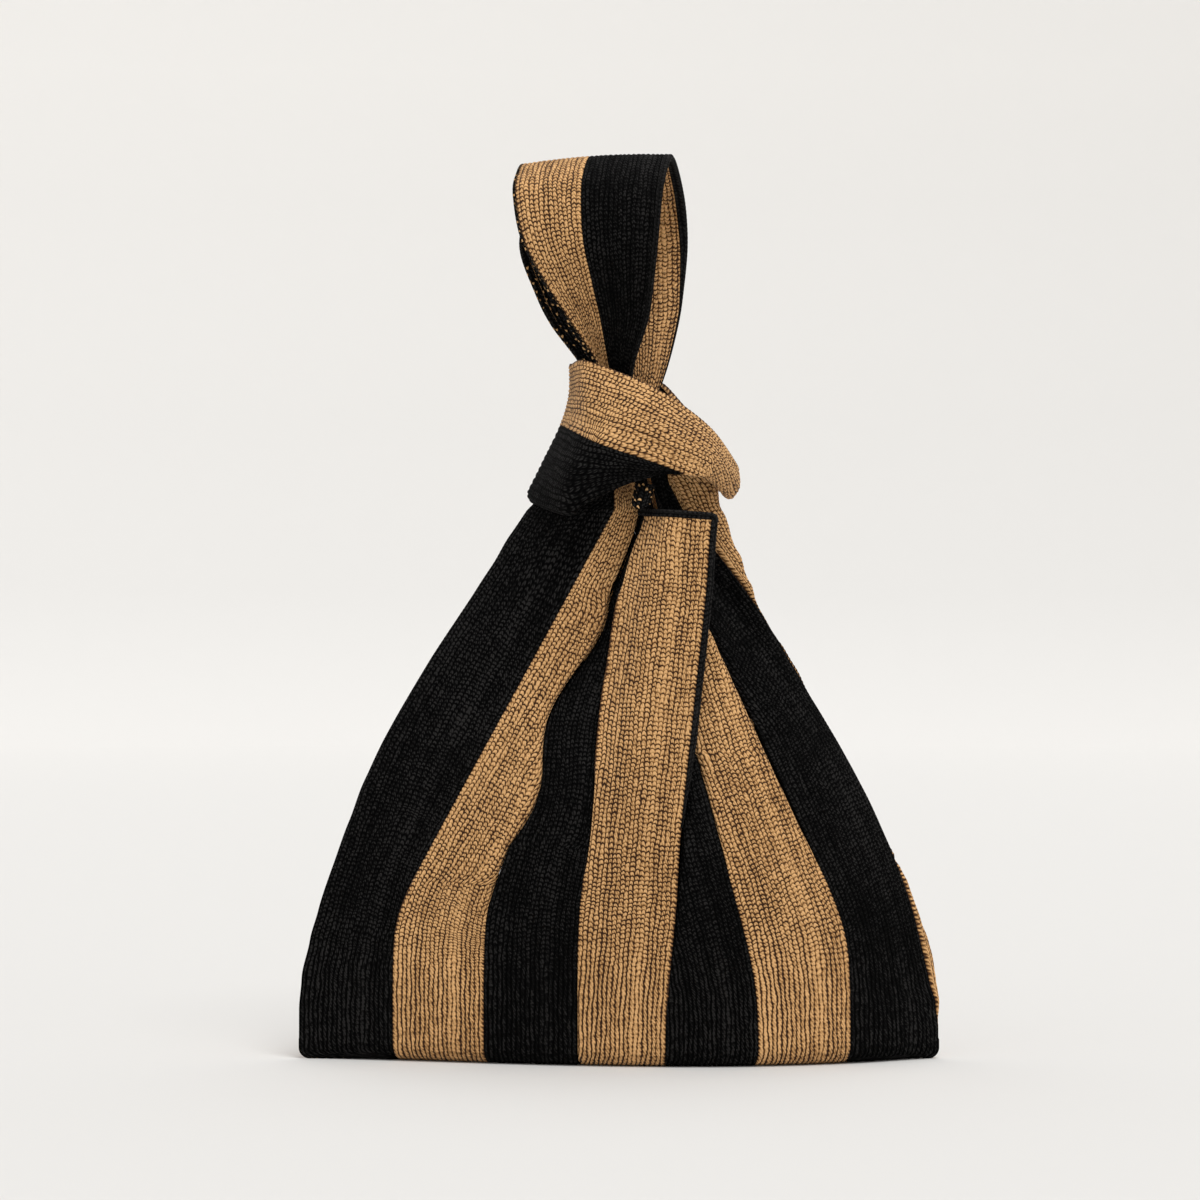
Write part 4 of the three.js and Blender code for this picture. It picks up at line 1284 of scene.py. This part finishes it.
@dataclass
class Body:
    """The striped body of the bag.

    front_hides and back_hides are the shares of each stripe's spare cloth that go under at its
    left, and most_hidden is how much of it there may be, by height over the rim.
    """

    shape: BagShape
    wardrobe: Wardrobe
    front_hides: tuple[float, ...] = (0.0, 0.0, 0.5, 1.0, 1.0, 0.5, 1.0)
    back_hides: tuple[float, ...] = (0.0, 0.5, 0.5, 0.5, 0.5, 0.5, 1.0)
    most_hidden: Table = ((-20, 60), (150, 60), (185, 14), (240, 4))
    edge_roll: float = 4.0
    sunk_roll: float = 2.0
    sunk_stripes: tuple[int, ...] = (1, 2)
    tilt_from: tuple[float, float] = (5.0, 35.0)
    tilt_to: tuple[float, float] = (182.0, 214.0)
    scallop: float = 0.5
    courses_apart: float = 31.0
    stripe_samples: int = 40
    base_samples: int = 600
    turn_in_least: float = 1.0
    seam_least: float = 0.35
    seam_inset: float = 3.0
    fold_radius: float = 3.0
    fold_least: float = 0.6
    fold_out: float = 0.4
    fold_flat: float = 0.95
    fold_back: float = 13.0
    fold_back_run: float = 50.0
    hem_samples: tuple[int, int] = (30, 20)
    hem_inset: float = 1.5
    pleat_hem_size: tuple[float, float] = (1.8, 1.7)
    pleat_hem_rise: float = 1.2
    pleat_hem_start: Point = (-1.6, 2.0, 0.3)
    pleat_hem_end: tuple[Point, Point] = ((1.5, 0.3, -0.4), (1.9, 0.5, -2.2))
    back_hem_size: tuple[float, float] = (1.85, 1.8)
    mouth_x: tuple[float, float] = (3.6, 12.6)
    mouth_z: tuple[float, float, float] = (221.5, 224.0, 233.0)
    mouth_y: float = -38.0
    mouth_lean: tuple[float, float] = (2.4, 7.5)
    mouth_cup: float = 5.5

    def build(self) -> list[bpy.types.Object]:
        """Makes every stripe and the base.

        Returns:
            The pieces.
        """
        pieces = [self.stripe(True, index) for index in range(self.shape.stripes)]
        pieces += [self.stripe(False, index) for index in range(self.shape.stripes)]
        pieces += [self.turn_in(True), self.turn_in(False), self.seam_band()]
        pieces += [self.pleat_fold(), self.pleat_hem(), self.back_hem(), self.mouth_turn()]
        return pieces

    def finish(self, piece: bpy.types.Object, node: str, faces: list[Face]) -> bpy.types.Object:
        """Dresses a piece, lets it ride on the bag and puts it in a node's place."""
        self.wardrobe.dress(piece, faces)
        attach(piece, "bag")
        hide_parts(node)
        return piece

    def stripe(self, is_front: bool, index: int) -> bpy.types.Object:
        """One stripe of the front or the back."""
        shape = self.shape
        mouth_z = shape.hem_z if is_front else shape.mouth_back_z
        node = f"front_stripe_{index + 1}" if is_front else f"back_stripe_{index + 8}"
        camel = bool(index % 2) == is_front
        panel = Panel(
            name=f"knit_{node}",
            surface=lambda share, h: shape.point(is_front, index, share, h),
            start=-shape.rim_run,
            end=(mouth_z if index in shape.mouth else shape.neck_z) - shape.rim,
            wales=GAUGE.stripe_wales,
            hide=(self.front_hides if is_front else self.back_hides)[index],
            most_hidden=lambda h, _: table(self.most_hidden, h),
            roll=self.sunk_roll if is_front and index in self.sunk_stripes else self.edge_roll,
            tilt_from=self.tilt_from,
            tilt_to=self.tilt_to,
            scallop=self.scallop if camel else 0.0,
            first_course=self.courses_apart * index,
            limit=lambda points: shape.keep(is_front, points),
        )
        piece = panel.build()
        self.finish(piece, node, self.wardrobe.pair(camel))
        panel.flat_size()
        return piece

    def turn_in(self, is_front: bool) -> bpy.types.Object:
        """The cloth turned in under the base on one side, with its stripes."""
        shape = self.shape
        sign = -1.0 if is_front else 1.0
        xs = np.linspace(-shape.half_width, shape.half_width, self.base_samples)
        flat = np.abs(self._base_y(is_front, xs))
        seam = shape.opening(xs)
        clear = xs[flat - shape.rim - seam > self.turn_in_least]
        low, high = float(clear[0]), float(clear[-1])

        def surface(share: Array, at: Array) -> Array:
            x = mix(low, high, share) if is_front else mix(high, low, share)
            edge = np.abs(self._base_y(is_front, x)) - shape.rim - shape.gap
            near = shape.opening(x)
            drawn = x - shape.pull(x)
            return points_of(drawn, sign * mix(near, edge, at), 0.0 * x)

        wales = round((high - low) / GAUGE.wale)
        node = f"base_turn_in_{'front' if is_front else 'back'}"
        panel = Panel(f"knit_{node}", surface, 0.0, 1.0, wales, squeeze=True, skip_rows=3)
        count = POINTS_PER_WALE * wales
        column = (np.arange(count) + 0.5) / count
        x = mix(low, high, column) if is_front else mix(high, low, column)
        stripe = np.floor((x + shape.half_width) / shape.stripe).astype(int)
        camel = (stripe % 2 == 1) if is_front else (stripe % 2 == 0)
        piece = panel.build(tones=np.where(camel, 1, 0), inner_tone=0)
        self.finish(piece, node, [Face.BLACK, Face.CAMEL])
        depth = (flat - shape.rim - seam)[(xs >= low) & (xs <= high)]
        area = float(np.sum(depth) * (xs[1] - xs[0])) * MM * MM
        size = ((high - low) * MM, float(np.max(depth)) * MM)
        return piece

    def _base_y(self, is_front: bool, xs: Array) -> Array:
        """Depth of the front or the back just over the rim, by place across."""
        shape = self.shape
        face = shape.front if is_front else shape.back
        share = np.linspace(0, 1, self.stripe_samples)
        found = [face(k, share, np.full(len(share), shape.rim)) for k in range(shape.stripes)]
        x, y = np.concatenate(found, axis=1)
        order = np.argsort(x)
        return np.interp(xs, x[order], y[order])

    def seam_band(self) -> bpy.types.Object:
        """The flat band over the seam under the base."""
        shape = self.shape
        half = shape.half_width - shape.seam_end - self.seam_inset

        def surface(share: Array, at: Array) -> Array:
            x = mix(-half, half, at)
            wide = np.maximum(self.seam_least, shape.opening(x) - shape.gap)
            y = mix(-wide, wide, share)
            return points_of(x, y, 0.0 * x)

        panel = Panel(
            "knit_base_seam_band", surface, 0.0, 1.0, wales=5, squeeze=True, skip_rows=4, skip_columns=4,
        )
        piece = panel.build(inner_tone=0)
        self.finish(piece, "base_seam_band", [Face.BLACK])
        size = (2 * half * MM, 2 * shape.seam_half * MM)
        area = size[0] * size[1] * math.pi / 4
        return piece

    def _pleat_edge(self, z: Array) -> tuple[Array, Array]:
        """Place across and in depth of the pleat's free edge."""
        return self.shape.front(self.shape.pleat, np.ones_like(z), z)

    def pleat_fold(self) -> bpy.types.Object:
        """The black cloth folded round the free edge of the pleat and back behind it."""
        shape = self.shape

        def surface(share: Array, at: Array) -> Array:
            share, at = np.broadcast_arrays(share, at)
            x, y = self._pleat_edge(at)
            behind = -shape.half_depth(at) - shape.gap
            room = np.maximum(behind - y, self.fold_least)
            r = np.minimum(self.fold_radius, room / 2)
            turn = math.pi * np.clip(share * 2, 0, 1)
            back = np.clip(share * 2 - 1, 0, 1)
            run = self.fold_back * ease((at - shape.fold_start_z) / self.fold_back_run)
            px = x + self.fold_out + self.fold_flat * r * np.sin(turn) - back * run
            py = y + r * (1 - np.cos(turn)) + back * np.maximum(room - 2 * r, 0)
            return points_of(px, py, at - shape.drop(np.ones_like(at), at))

        panel = Panel(
            "knit_pleat_fold", surface, shape.fold_start_z, shape.hem_z, wales=9, thickness=1.4,
            squeeze=True, skip_rows=3, skip_columns=3,
        )
        piece = panel.build(inner_tone=0)
        self.finish(piece, "pleat_fold", [Face.LIT_BLACK])
        panel.flat_size()
        return piece

    def pleat_hem(self) -> bpy.types.Object:
        """The black hem bound over the top of the pleat."""
        shape = self.shape
        share = np.linspace(0, 1, self.hem_samples[0])
        z = np.full(len(share), shape.hem_z)
        x, y = shape.front(shape.pleat, share, z)
        middle = shape.hem_z - shape.drop(share, z) + shape.gap + self.pleat_hem_rise
        path = points_of(x, y + self.hem_inset, middle)
        ends = [path[-1] + step for step in self.pleat_hem_end]
        path = np.vstack([path[0] + self.pleat_hem_start, path, *ends])
        outward = np.tile([0.0, -1.0, 0.0], (len(path), 1))
        piece = Cord("knit_pleat_hem", path, outward, *self.pleat_hem_size).build()
        return self.finish(piece, "pleat_hem", [Face.LIT_BLACK])

    def mouth_turn(self) -> bpy.types.Object:
        """The corner of cloth that turns over beside the hem and shows its inner face."""
        left, right, top = self.mouth_z
        lean, back = self.mouth_lean

        def surface(share: Array, at: Array) -> Array:
            share, at = np.broadcast_arrays(share, at)
            x = mix(*self.mouth_x, share) + lean * at
            z = mix(mix(left, right, share), top, at)
            y = self.mouth_y + back * at + self.mouth_cup * (2 * share - 1) ** 2
            return points_of(x, y, z)

        panel = Panel(
            "knit_mouth_turn", surface, 0.0, 1.0, wales=6, thickness=1.6, squeeze=True,
            skip_rows=2, skip_columns=4,
        )
        piece = panel.build(inner_tone=0)
        self.wardrobe.dress(piece, [Face.BLACK_INSIDE])
        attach(piece, "bag")
        panel.flat_size()
        return piece

    def back_hem(self) -> bpy.types.Object:
        """The hem along the top of the back."""
        shape = self.shape
        share = np.linspace(0, 1, self.hem_samples[1])
        z = np.full(len(share), shape.mouth_back_z)
        found = [shape.back(index, share, z) for index in shape.mouth]
        x, y = np.concatenate([np.stack(stripe)[:, :-1] for stripe in found], axis=1)
        middle = shape.mouth_back_z + shape.gap + shape.hem_height / 2
        path = points_of(x, y - self.hem_inset, middle)
        outward = np.tile([0.0, 1.0, 0.0], (len(x), 1))
        piece = Cord("knit_back_hem", path, outward, *self.back_hem_size).build()
        return self.finish(piece, "back_hem", [Face.LIT_BLACK])


# The wrist loop


@dataclass
class WristLoop:
    """The long handle, standing up as a loop of two yarns side by side.

    left and right are its edges at stations from the front root over the top to the back one,
    crown how far it bulges between them, and turn where camel turns black. chain and roll are
    the shares of its width under its edges, and split the stations that its roots take. The
    places where its roots and the loop itself would start and end to bend are given in metres,
    but nothing in the script bends them.
    """

    wardrobe: Wardrobe
    left: tuple[Point, ...] = (
        (-5, -6.5, 261.5), (-8.8, -12, 281), (-20, -18, 298), (-30.5, -23, 313.5), (-39.6, -25, 331),
        (-43.0, -21, 350), (-41.8, -11, 359.5), (-40, -1, 363.5), (-39, 9, 360), (-38.5, 20, 349),
        (-41.5, 24, 332), (-35, 22, 313.5), (-27.8, 18.5, 299.5), (-14, 12, 281), (-6, 7, 261.5),
    )
    right: tuple[Point, ...] = (
        (3, -8, 261.5), (4, -15, 280), (10.5, -22, 299), (13, -27, 312), (15.2, -31, 329),
        (17, -28, 348), (19.3, -18, 361), (21.7, -5, 367.1), (24.5, 11, 362.6), (27.5, 25, 350),
        (28.6, 30, 333), (26.8, 26, 314), (24.6, 21, 300), (19.5, 13, 281), (12, 7.5, 261.5),
    )
    crown: tuple[float, ...] = (-1.5, -3, -3, -1, 1.5, 2, 2, 1.5, 1.5, 2, 2, 1, 0, -1, -1.5)
    turn: tuple[float, ...] = (
        0.36, 0.36, 0.41, 0.45, 0.455, 0.46, 0.46, 0.46, 0.46, 0.46, 0.46, 0.46, 0.45, 0.43, 0.4,
    )
    centre_z: float = 322.5
    split: float = 0.5
    camel_wales: int = 13
    black_wales: int = 16
    chain: float = 0.05
    roll: float = 0.05
    cloth: float = 2.8
    valley: float = 2.6
    valley_run: float = 3.5
    valley_width: float = 0.16
    foot: float = 0.4
    scallop: float = 0.3
    girths: Table = ((0, 0.7), (4, 0.75), (7, 1.0), (9, 1.15), (12, 0.3), (14, 0.25))
    edge_samples: int = 240
    edge_out: float = 0.15
    chain_half: float = 1.6
    roll_half: float = 1.9
    edge_tones: tuple[float, float] = (1.25, 0.38)
    root_from: Point = (0.004, 0, 0.255)
    root_to: Point = (0.004, 0, 0.270)
    bend_from: Point = (0.004, 0, 0.272)
    bend_to: Point = (0.004, 0, 0.300)

    @property
    def last(self) -> int:
        """The last station."""
        return len(self.left) - 1

    def face(self, s: Array, w: Array) -> Array:
        """Outer face: s counts stations from the front root, w runs left to right."""
        s, w = np.broadcast_arrays(np.asarray(s, float), np.asarray(w, float))
        left = through(np.array(self.left), s)
        right = through(np.array(self.right), s)
        middle = (left + right) / 2
        rise = np.maximum(0, middle[..., 2] - self.centre_z)
        out = unit(np.stack([np.zeros_like(rise), middle[..., 1], rise], -1))
        inside = np.clip(w, 0, 1)
        crown = through(np.array(self.crown)[:, None], s)[..., 0] * 4 * inside * (1 - inside)
        low = 1 - ease((np.minimum(s, self.last - s) - 1) / self.valley_run)
        crown = crown - self.valley * low * bell(w - self.share_of_turn(s), self.valley_width)
        return left + (right - left) * w[..., None] + out * crown[..., None]

    def share_of_turn(self, s: Array) -> Array:
        """Where camel turns black across the loop."""
        return through(np.array(self.turn)[:, None], s)[..., 0]

    def roll_girth(self, s: Array) -> Array:
        """Girth of the rolled edge: slim down the front leg, and thin at the foot of the back one."""
        return table(self.girths, s)

    def half(self, camel: bool) -> Surface:
        """Surface of the camel or the black half.

        Args:
            camel: Which half.

        Returns:
            Its surface by share across and station.
        """

        def surface(share: Array, s: Array) -> Array:
            share, s = np.broadcast_arrays(share, s)
            turn = self.share_of_turn(s)
            first = mix(self.chain, turn, share)
            second = mix(turn, 1 - self.roll * self.roll_girth(s), share)
            return self.face(s, first if camel else second)

        return surface

    def build(self) -> list[bpy.types.Object]:
        """Makes the loop, its edges and its roots.

        Returns:
            The pieces.
        """
        pieces = []
        for camel in (True, False):
            feet = [
                self.root(camel, "front", -self.foot, self.split),
                self.root(camel, "back", self.last - self.split, self.last + self.foot),
                self.edge(camel),
            ]
            pieces += [self.band(camel), *feet]
        return pieces

    def strip(
        self, camel: bool, name: str, start: float, end: float, **fineness: float
    ) -> tuple[Panel, bpy.types.Object]:
        """A length of one half, dressed.

        Args:
            camel: Which half.
            name: Name of the piece.
            start: Station of its first end.
            end: Station of its last end.
            fineness: What else its panel is told.

        Returns:
            Its panel and its piece.
        """
        wales = self.camel_wales if camel else self.black_wales
        panel = Panel(name, self.half(camel), start, end, wales, self.cloth, squeeze=True, **fineness)
        piece = panel.build()
        self.wardrobe.dress(piece, self.wardrobe.pair(camel))
        return panel, piece

    def band(self, camel: bool) -> bpy.types.Object:
        """One half of the standing loop, with both its faces.

        Args:
            camel: Which half.

        Returns:
            The piece.
        """
        tones = ("camel", "black") if camel else ("black", "camel")
        panel, piece = self.strip(
            camel, f"knit_loop_{tones[0]}", self.split, self.last - self.split,
            skip_rows=1, skip_columns=1, scallop=self.scallop if camel else 0.0,
        )
        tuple(self.bend_from)
        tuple(self.bend_to)
        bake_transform(piece)
        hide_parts(f"loop_{tones[0]}_face", f"loop_{tones[1]}_lining")
        panel.flat_size()
        return piece

    def root(self, camel: bool, side: str, start: float, end: float) -> bpy.types.Object:
        """The gathered foot of one half, inside the knot."""
        tone = "camel" if camel else "black"
        piece = self.strip(camel, f"knit_root_{side}_{tone}", start, end, skip_rows=2, skip_columns=4)[1]
        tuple(self.root_from)
        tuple(self.root_to)
        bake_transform(piece)
        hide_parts(f"loop_root_{side}_{tone}")
        return piece

    def edge(self, is_left: bool) -> bpy.types.Object:
        """The chain of stitches down the left edge, or the roll down the right."""
        s = np.linspace(self.split, self.last - self.split, self.edge_samples)
        girth = np.ones(len(s)) if is_left else self.roll_girth(s)
        w = self.chain / 2 + 0 * s if is_left else 1 - self.roll / 2 * girth
        point = self.face(s, w)
        aside = 0.01
        across = unit(self.face(s, w + aside) - self.face(s, w - aside))
        along = unit(np.gradient(point, axis=0))
        normal = unit(np.cross(across, along))
        turn, edge = self.edge_tones
        piece = Cord(
            "knit_loop_chain" if is_left else "knit_loop_roll", point - normal * (self.cloth / 2), normal,
            self.cloth / 2 + self.edge_out, self.chain_half if is_left else self.roll_half, wales=6,
            around=24, girth=girth, back_tone=1, tone_turn=turn, tone_edge=edge,
        ).build()
        # The rolled edge wears the lighter black: painted light along its ridge.
        self.wardrobe.dress(piece, [Face.CAMEL, Face.BLACK_INSIDE] if is_left else [Face.LIT_BLACK, Face.LIT_BLACK])
        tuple(self.bend_from)
        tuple(self.bend_to)
        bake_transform(piece)
        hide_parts("loop_left_chain" if is_left else "loop_right_roll")
        return piece


# The knot


@dataclass
class ShortHandle:
    """The short handle, wound once round the neck.

    A station is five points down the outer face, and the stations run round the neck from the
    left end. The camel half takes turn_row of them. The black half reaches from black_from to
    black_to, and narrows to black_least from narrow_from on. The hump lifts the rear rim.
    """

    wardrobe: Wardrobe
    stations: tuple[tuple[Point, ...], ...] = (
        ((-20, -1, 281.5), (-20, -1, 270), (-23.5, -1, 257.5), (-31, -2, 242), (-38.4, -2, 227.2)),
        ((-14.5, -18, 282.5), (-14, -25, 268), (-15, -29, 252), (-22, -32, 235), (-22, -30, 219.5)),
        ((0, -25, 277.4), (-1, -33, 262), (-4.6, -36, 247.3), (-8, -36, 236), (-9, -33, 225.5)),
        ((12, -28, 272), (12, -36, 256), (12.3, -38, 241.5), (9.5, -36, 236.5), (8, -33, 232.6)),
        ((25, -28, 264.5), (25, -36, 250), (25.8, -36, 236.5), (25, -35, 234), (24, -34, 232)),
        ((38.7, -20, 253.8), (40, -26, 243), (37, -27, 233.5), (36, -26, 231), (35, -25, 229)),
        ((48.8, -2, 240.5), (49, -2, 232), (44.8, -3, 226.3), (42, -3, 224), (39, -3, 222)),
        ((42, 12, 251), (46, 17, 241), (44, 19, 230), (42, 19, 225), (40, 18, 220)),
        ((22.6, 23, 268.6), (27.5, 31, 253), (29, 33, 239), (28, 30, 228), (25, 23, 218)),
        ((6, 27, 275), (6, 35, 259), (5, 37, 245), (3, 34, 233), (1, 25.5, 221)),
        ((-12, 21, 281), (-13, 29, 266), (-14, 32, 252), (-18, 31, 238), (-19, 23.5, 223.5)),
        ((-19.5, 10, 282.5), (-20, 14, 269), (-23, 15, 256), (-29, 16, 242), (-32.5, 12, 228)),
    )
    black_from: float = -3.6
    black_to: float = 3.9
    turn_row: float = 2.0
    hump: float = 5.0
    hump_place: float = 8.3
    hump_width: float = 0.5
    narrow_from: float = 2.9
    black_least: float = 0.2
    camel_roll: float = 2.6
    camel_spare: float = 15.0
    camel_spare_place: float = 6.0
    camel_scallop: float = 0.6
    black_roll: float = 4.5
    black_stretch: float = 1.4
    black_spare: float = 0.3
    wales: int = 16
    cloth: float = 2.8

    def face(self, s: Array, w: Array) -> Array:
        """Outer face: s counts stations round the neck, w runs down the width."""
        s, w = np.broadcast_arrays(np.asarray(s, float), np.asarray(w, float))
        rows = through(np.array(self.stations), s, closed=True)
        bottom = len(self.stations[0]) - 1
        cell = np.clip(np.floor(w).astype(int), 0, bottom - 1)
        total = 0.0
        for k, weight in enumerate(spline_weights(w - cell)):
            index = np.clip(cell + k - 1, 0, bottom)
            picked = np.take_along_axis(rows, index[..., None, None], axis=-2)[..., 0, :]
            total = total + picked * weight[..., None]
        return total

    def build(self) -> list[bpy.types.Object]:
        """Makes the camel and the black half of the wrap.

        Returns:
            The pieces.
        """
        bottom = float(len(self.stations[0]) - 1)

        def upper(share: Array, s: Array) -> Array:
            share, s = np.broadcast_arrays(share, s)
            raised = self.hump * bell(s - self.hump_place, self.hump_width) * (1 - share)
            return self.face(s, share * self.turn_row) + raised[..., None] * np.array([0.0, 0.0, 1.0])

        def lower(share: Array, s: Array) -> Array:
            low = mix(bottom, self.turn_row + self.black_least, ease(s - self.narrow_from))
            return self.face(s, mix(self.turn_row, low, share))

        camel = Panel(
            "knit_wrap_camel", upper, 0.0, float(len(self.stations)), self.wales, self.cloth,
            hide=0.0, roll=self.camel_roll, ring=True, skip_rows=1, skip_columns=1,
            scallop=self.camel_scallop,
            most_hidden=lambda s, _: self.camel_spare * bell(s - self.camel_spare_place, 1.0),
        )
        black = Panel(
            "knit_wrap_black", lower, self.black_from, self.black_to, self.wales, self.cloth,
            hide=0.0, roll=self.black_roll, stretch=self.black_stretch, skip_rows=1, skip_columns=1,
            most_hidden=lambda s, seen: self.black_spare * seen,
        )
        return [
            self._finish(camel, True, ("wrap_camel_face", "wrap_black_lining")),
            self._finish(black, False, ("wrap_black_face", "wrap_camel_lining")),
        ]

    def _finish(self, panel: Panel, camel: bool, nodes: tuple[str, str]) -> bpy.types.Object:
        """Makes a half of the wrap and puts it in its nodes' place."""
        piece = panel.build()
        self.wardrobe.dress(piece, self.wardrobe.pair(camel))
        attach(piece, "short_handle")
        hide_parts(*nodes)
        panel.flat_size()
        return piece


@dataclass
class NeckStrands:
    """The strands gathered inside the knot."""

    wardrobe: Wardrobe
    x: float = 1.0
    half_width: float = 8.0
    half_depth: float = 6.8
    bottom: float = 232.0
    top: float = 261.0
    strands: int = 11
    groove: float = 0.16
    twist: float = 0.5
    sides_each: int = 12
    levels: int = 40

    def build(self) -> list[bpy.types.Object]:
        """Makes the bundle.

        Returns:
            The one piece.
        """
        sides = self.sides_each * self.strands
        angle = np.linspace(0, 2 * math.pi, sides, endpoint=False)[None, :]
        z = np.linspace(self.bottom, self.top, self.levels + 1)[:, None]
        turn = self.twist * (z - self.bottom) / (self.top - self.bottom)
        flute = 1 - self.groove * (1 - np.abs(np.sin(self.strands * (angle + turn) / 2)))
        x = self.x + self.half_width * flute * np.cos(angle)
        y = self.half_depth * flute * np.sin(angle)
        points = points_of(x, y, z)
        u = np.broadcast_to(angle / (2 * math.pi) * self.strands * 2, points.shape[:2])
        v = np.broadcast_to(z / GAUGE.course, points.shape[:2])
        quilt = Quilt()
        quilt.add_tube(points, u, v, np.zeros(sides, int))
        piece = quilt.mesh("knit_neck_strands")
        self.wardrobe.dress(piece, [Face.BLACK])
        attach(piece, "bag")
        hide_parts("neck_core")
        return [piece]


# Studio


@dataclass
class Studio:
    """Pale floor and backdrop, soft light and the camera, in metres.

    paper is how bright the backdrop is by height: it grows lighter up the sweep and the wall,
    painted light that makes up for the wall taking less light than the floor. Each light is a
    name, a place, its width in degrees and its power.
    """

    eye: Point = (-0.0077, -1.5, 0.1864)
    view_width: float = 0.488
    sensor: float = 36.0
    tint: Colour = (1.0, 0.985, 0.963)
    paper: Table = ((0.0, 0.678), (0.2, 0.67), (0.45, 0.72), (0.8, 0.82), (1.0, 0.9))
    paper_roughness: float = 0.9
    floor_points: tuple[int, int, int] = (96, 24, 8)
    floor_start: float = 0.2
    floor_radius: float = 3.2
    sweep: float = 1.0
    wall_height: float = 1.8
    sky: float = 0.58
    sky_colour: tuple[float, ...] = (1.0, 0.995, 0.98, 1.0)
    aim: Point = (0, 0, 0.18)
    lights: tuple[tuple[str, Point, float, float], ...] = (
        ("key", (0.45, -1.0, 2.4), 32.0, 1.85),
        ("top", (0.1, 0.6, 2.5), 32.0, 0.5),
    )

    def build(self) -> None:
        """Makes the floor, the lights, the world and the camera."""
        self._floor()
        self._world()
        for name, place, spread, power in self.lights:
            self._light(name, place, spread, power)
        self._camera()
        bpy.context.scene.view_settings.view_transform = "Standard"

    def _floor(self) -> None:
        """A round dish of paper: a flat floor that sweeps up into a wall, the same from every side."""
        around, bends, rings = self.floor_points
        turn = np.linspace(0, 2 * math.pi, around, endpoint=False)[:, None]
        bend = np.linspace(0, math.pi / 2, bends)
        flat = np.linspace(self.floor_start, self.floor_radius, rings)
        rim = self.floor_radius + self.sweep
        radius = np.concatenate([flat, self.floor_radius + self.sweep * np.sin(bend), [rim]])
        height = np.concatenate([0 * flat, self.sweep * (1 - np.cos(bend)), [self.wall_height]])
        points = points_of(radius * np.cos(turn), radius * np.sin(turn), height) / MM
        quilt = Quilt()
        grid = quilt.add_grid(points, points[..., 0], points[..., 1])
        quilt.add_faces(grid, np.zeros(len(radius) - 1, int), flip=True, ring=True)
        quilt.add_polygon(grid[:, 0])
        floor = quilt.mesh("studio_floor", smooth=60)
        shader = Shader("studio_paper")
        # Painted light: the paper lightens with height to even out the light between floor and wall.
        rise = shader.parts(shader.node("ShaderNodeTexCoord").outputs["Object"])[2]
        stops = tuple((place, tuple(level * c for c in self.tint)) for place, level in self.paper)
        paper = shader.colour_at(stops, rise)
        surface = {"Base Color": paper, "Roughness": self.paper_roughness, "Specular IOR Level": 0.0}
        floor.data.materials.append(shader.cover(surface))

    def _world(self) -> None:
        """Even light from all round."""
        world = bpy.data.worlds.new("studio_world")
        bpy.context.scene.world = world
        world.use_nodes = True
        background = world.node_tree.nodes["Background"]
        background.inputs["Color"].default_value = self.sky_colour
        background.inputs["Strength"].default_value = self.sky

    def _light(self, name: str, place: Point, spread: float, power: float) -> None:
        """One soft, even lamp that looks at the bag, as wide as its spread in degrees."""
        lamp = bpy.data.lights.new(f"studio_{name}", "SUN")
        lamp.angle = math.radians(spread)
        lamp.energy = power
        holder = add_object(f"studio_{name}", lamp)
        holder.location = place
        aim = Vector(self.aim) - Vector(place)
        holder.rotation_euler = aim.to_track_quat("-Z", "Y").to_euler()

    def _camera(self) -> None:
        """The photograph's level view of the front."""
        lens = bpy.data.cameras.new("studio_camera")
        lens.sensor_width = self.sensor
        lens.lens = self.sensor * abs(self.eye[1]) / self.view_width
        holder = add_object("studio_camera", lens)
        holder.location = self.eye
        holder.rotation_euler = (math.pi / 2, 0, 0)
        bpy.context.scene.camera = holder


def main() -> None:
    """Builds the bag and its studio, and reports each piece."""
    logging.basicConfig(level=logging.INFO, format="%(name)s: %(message)s")
    wardrobe = Wardrobe()
    shape = BagShape()
    parts = [Body(shape, wardrobe), NeckStrands(wardrobe), WristLoop(wardrobe), ShortHandle(wardrobe)]
    total = 0
    for part in parts:
        for piece in part.build():
            piece.data.calc_loop_triangles()
            count = len(piece.data.loop_triangles)
            total += count
            log.info("%s: %d triangles", piece.name, count)
    log.info("all pieces: %d triangles", total)
    Studio().build()


if __name__ == "__main__":
    main()
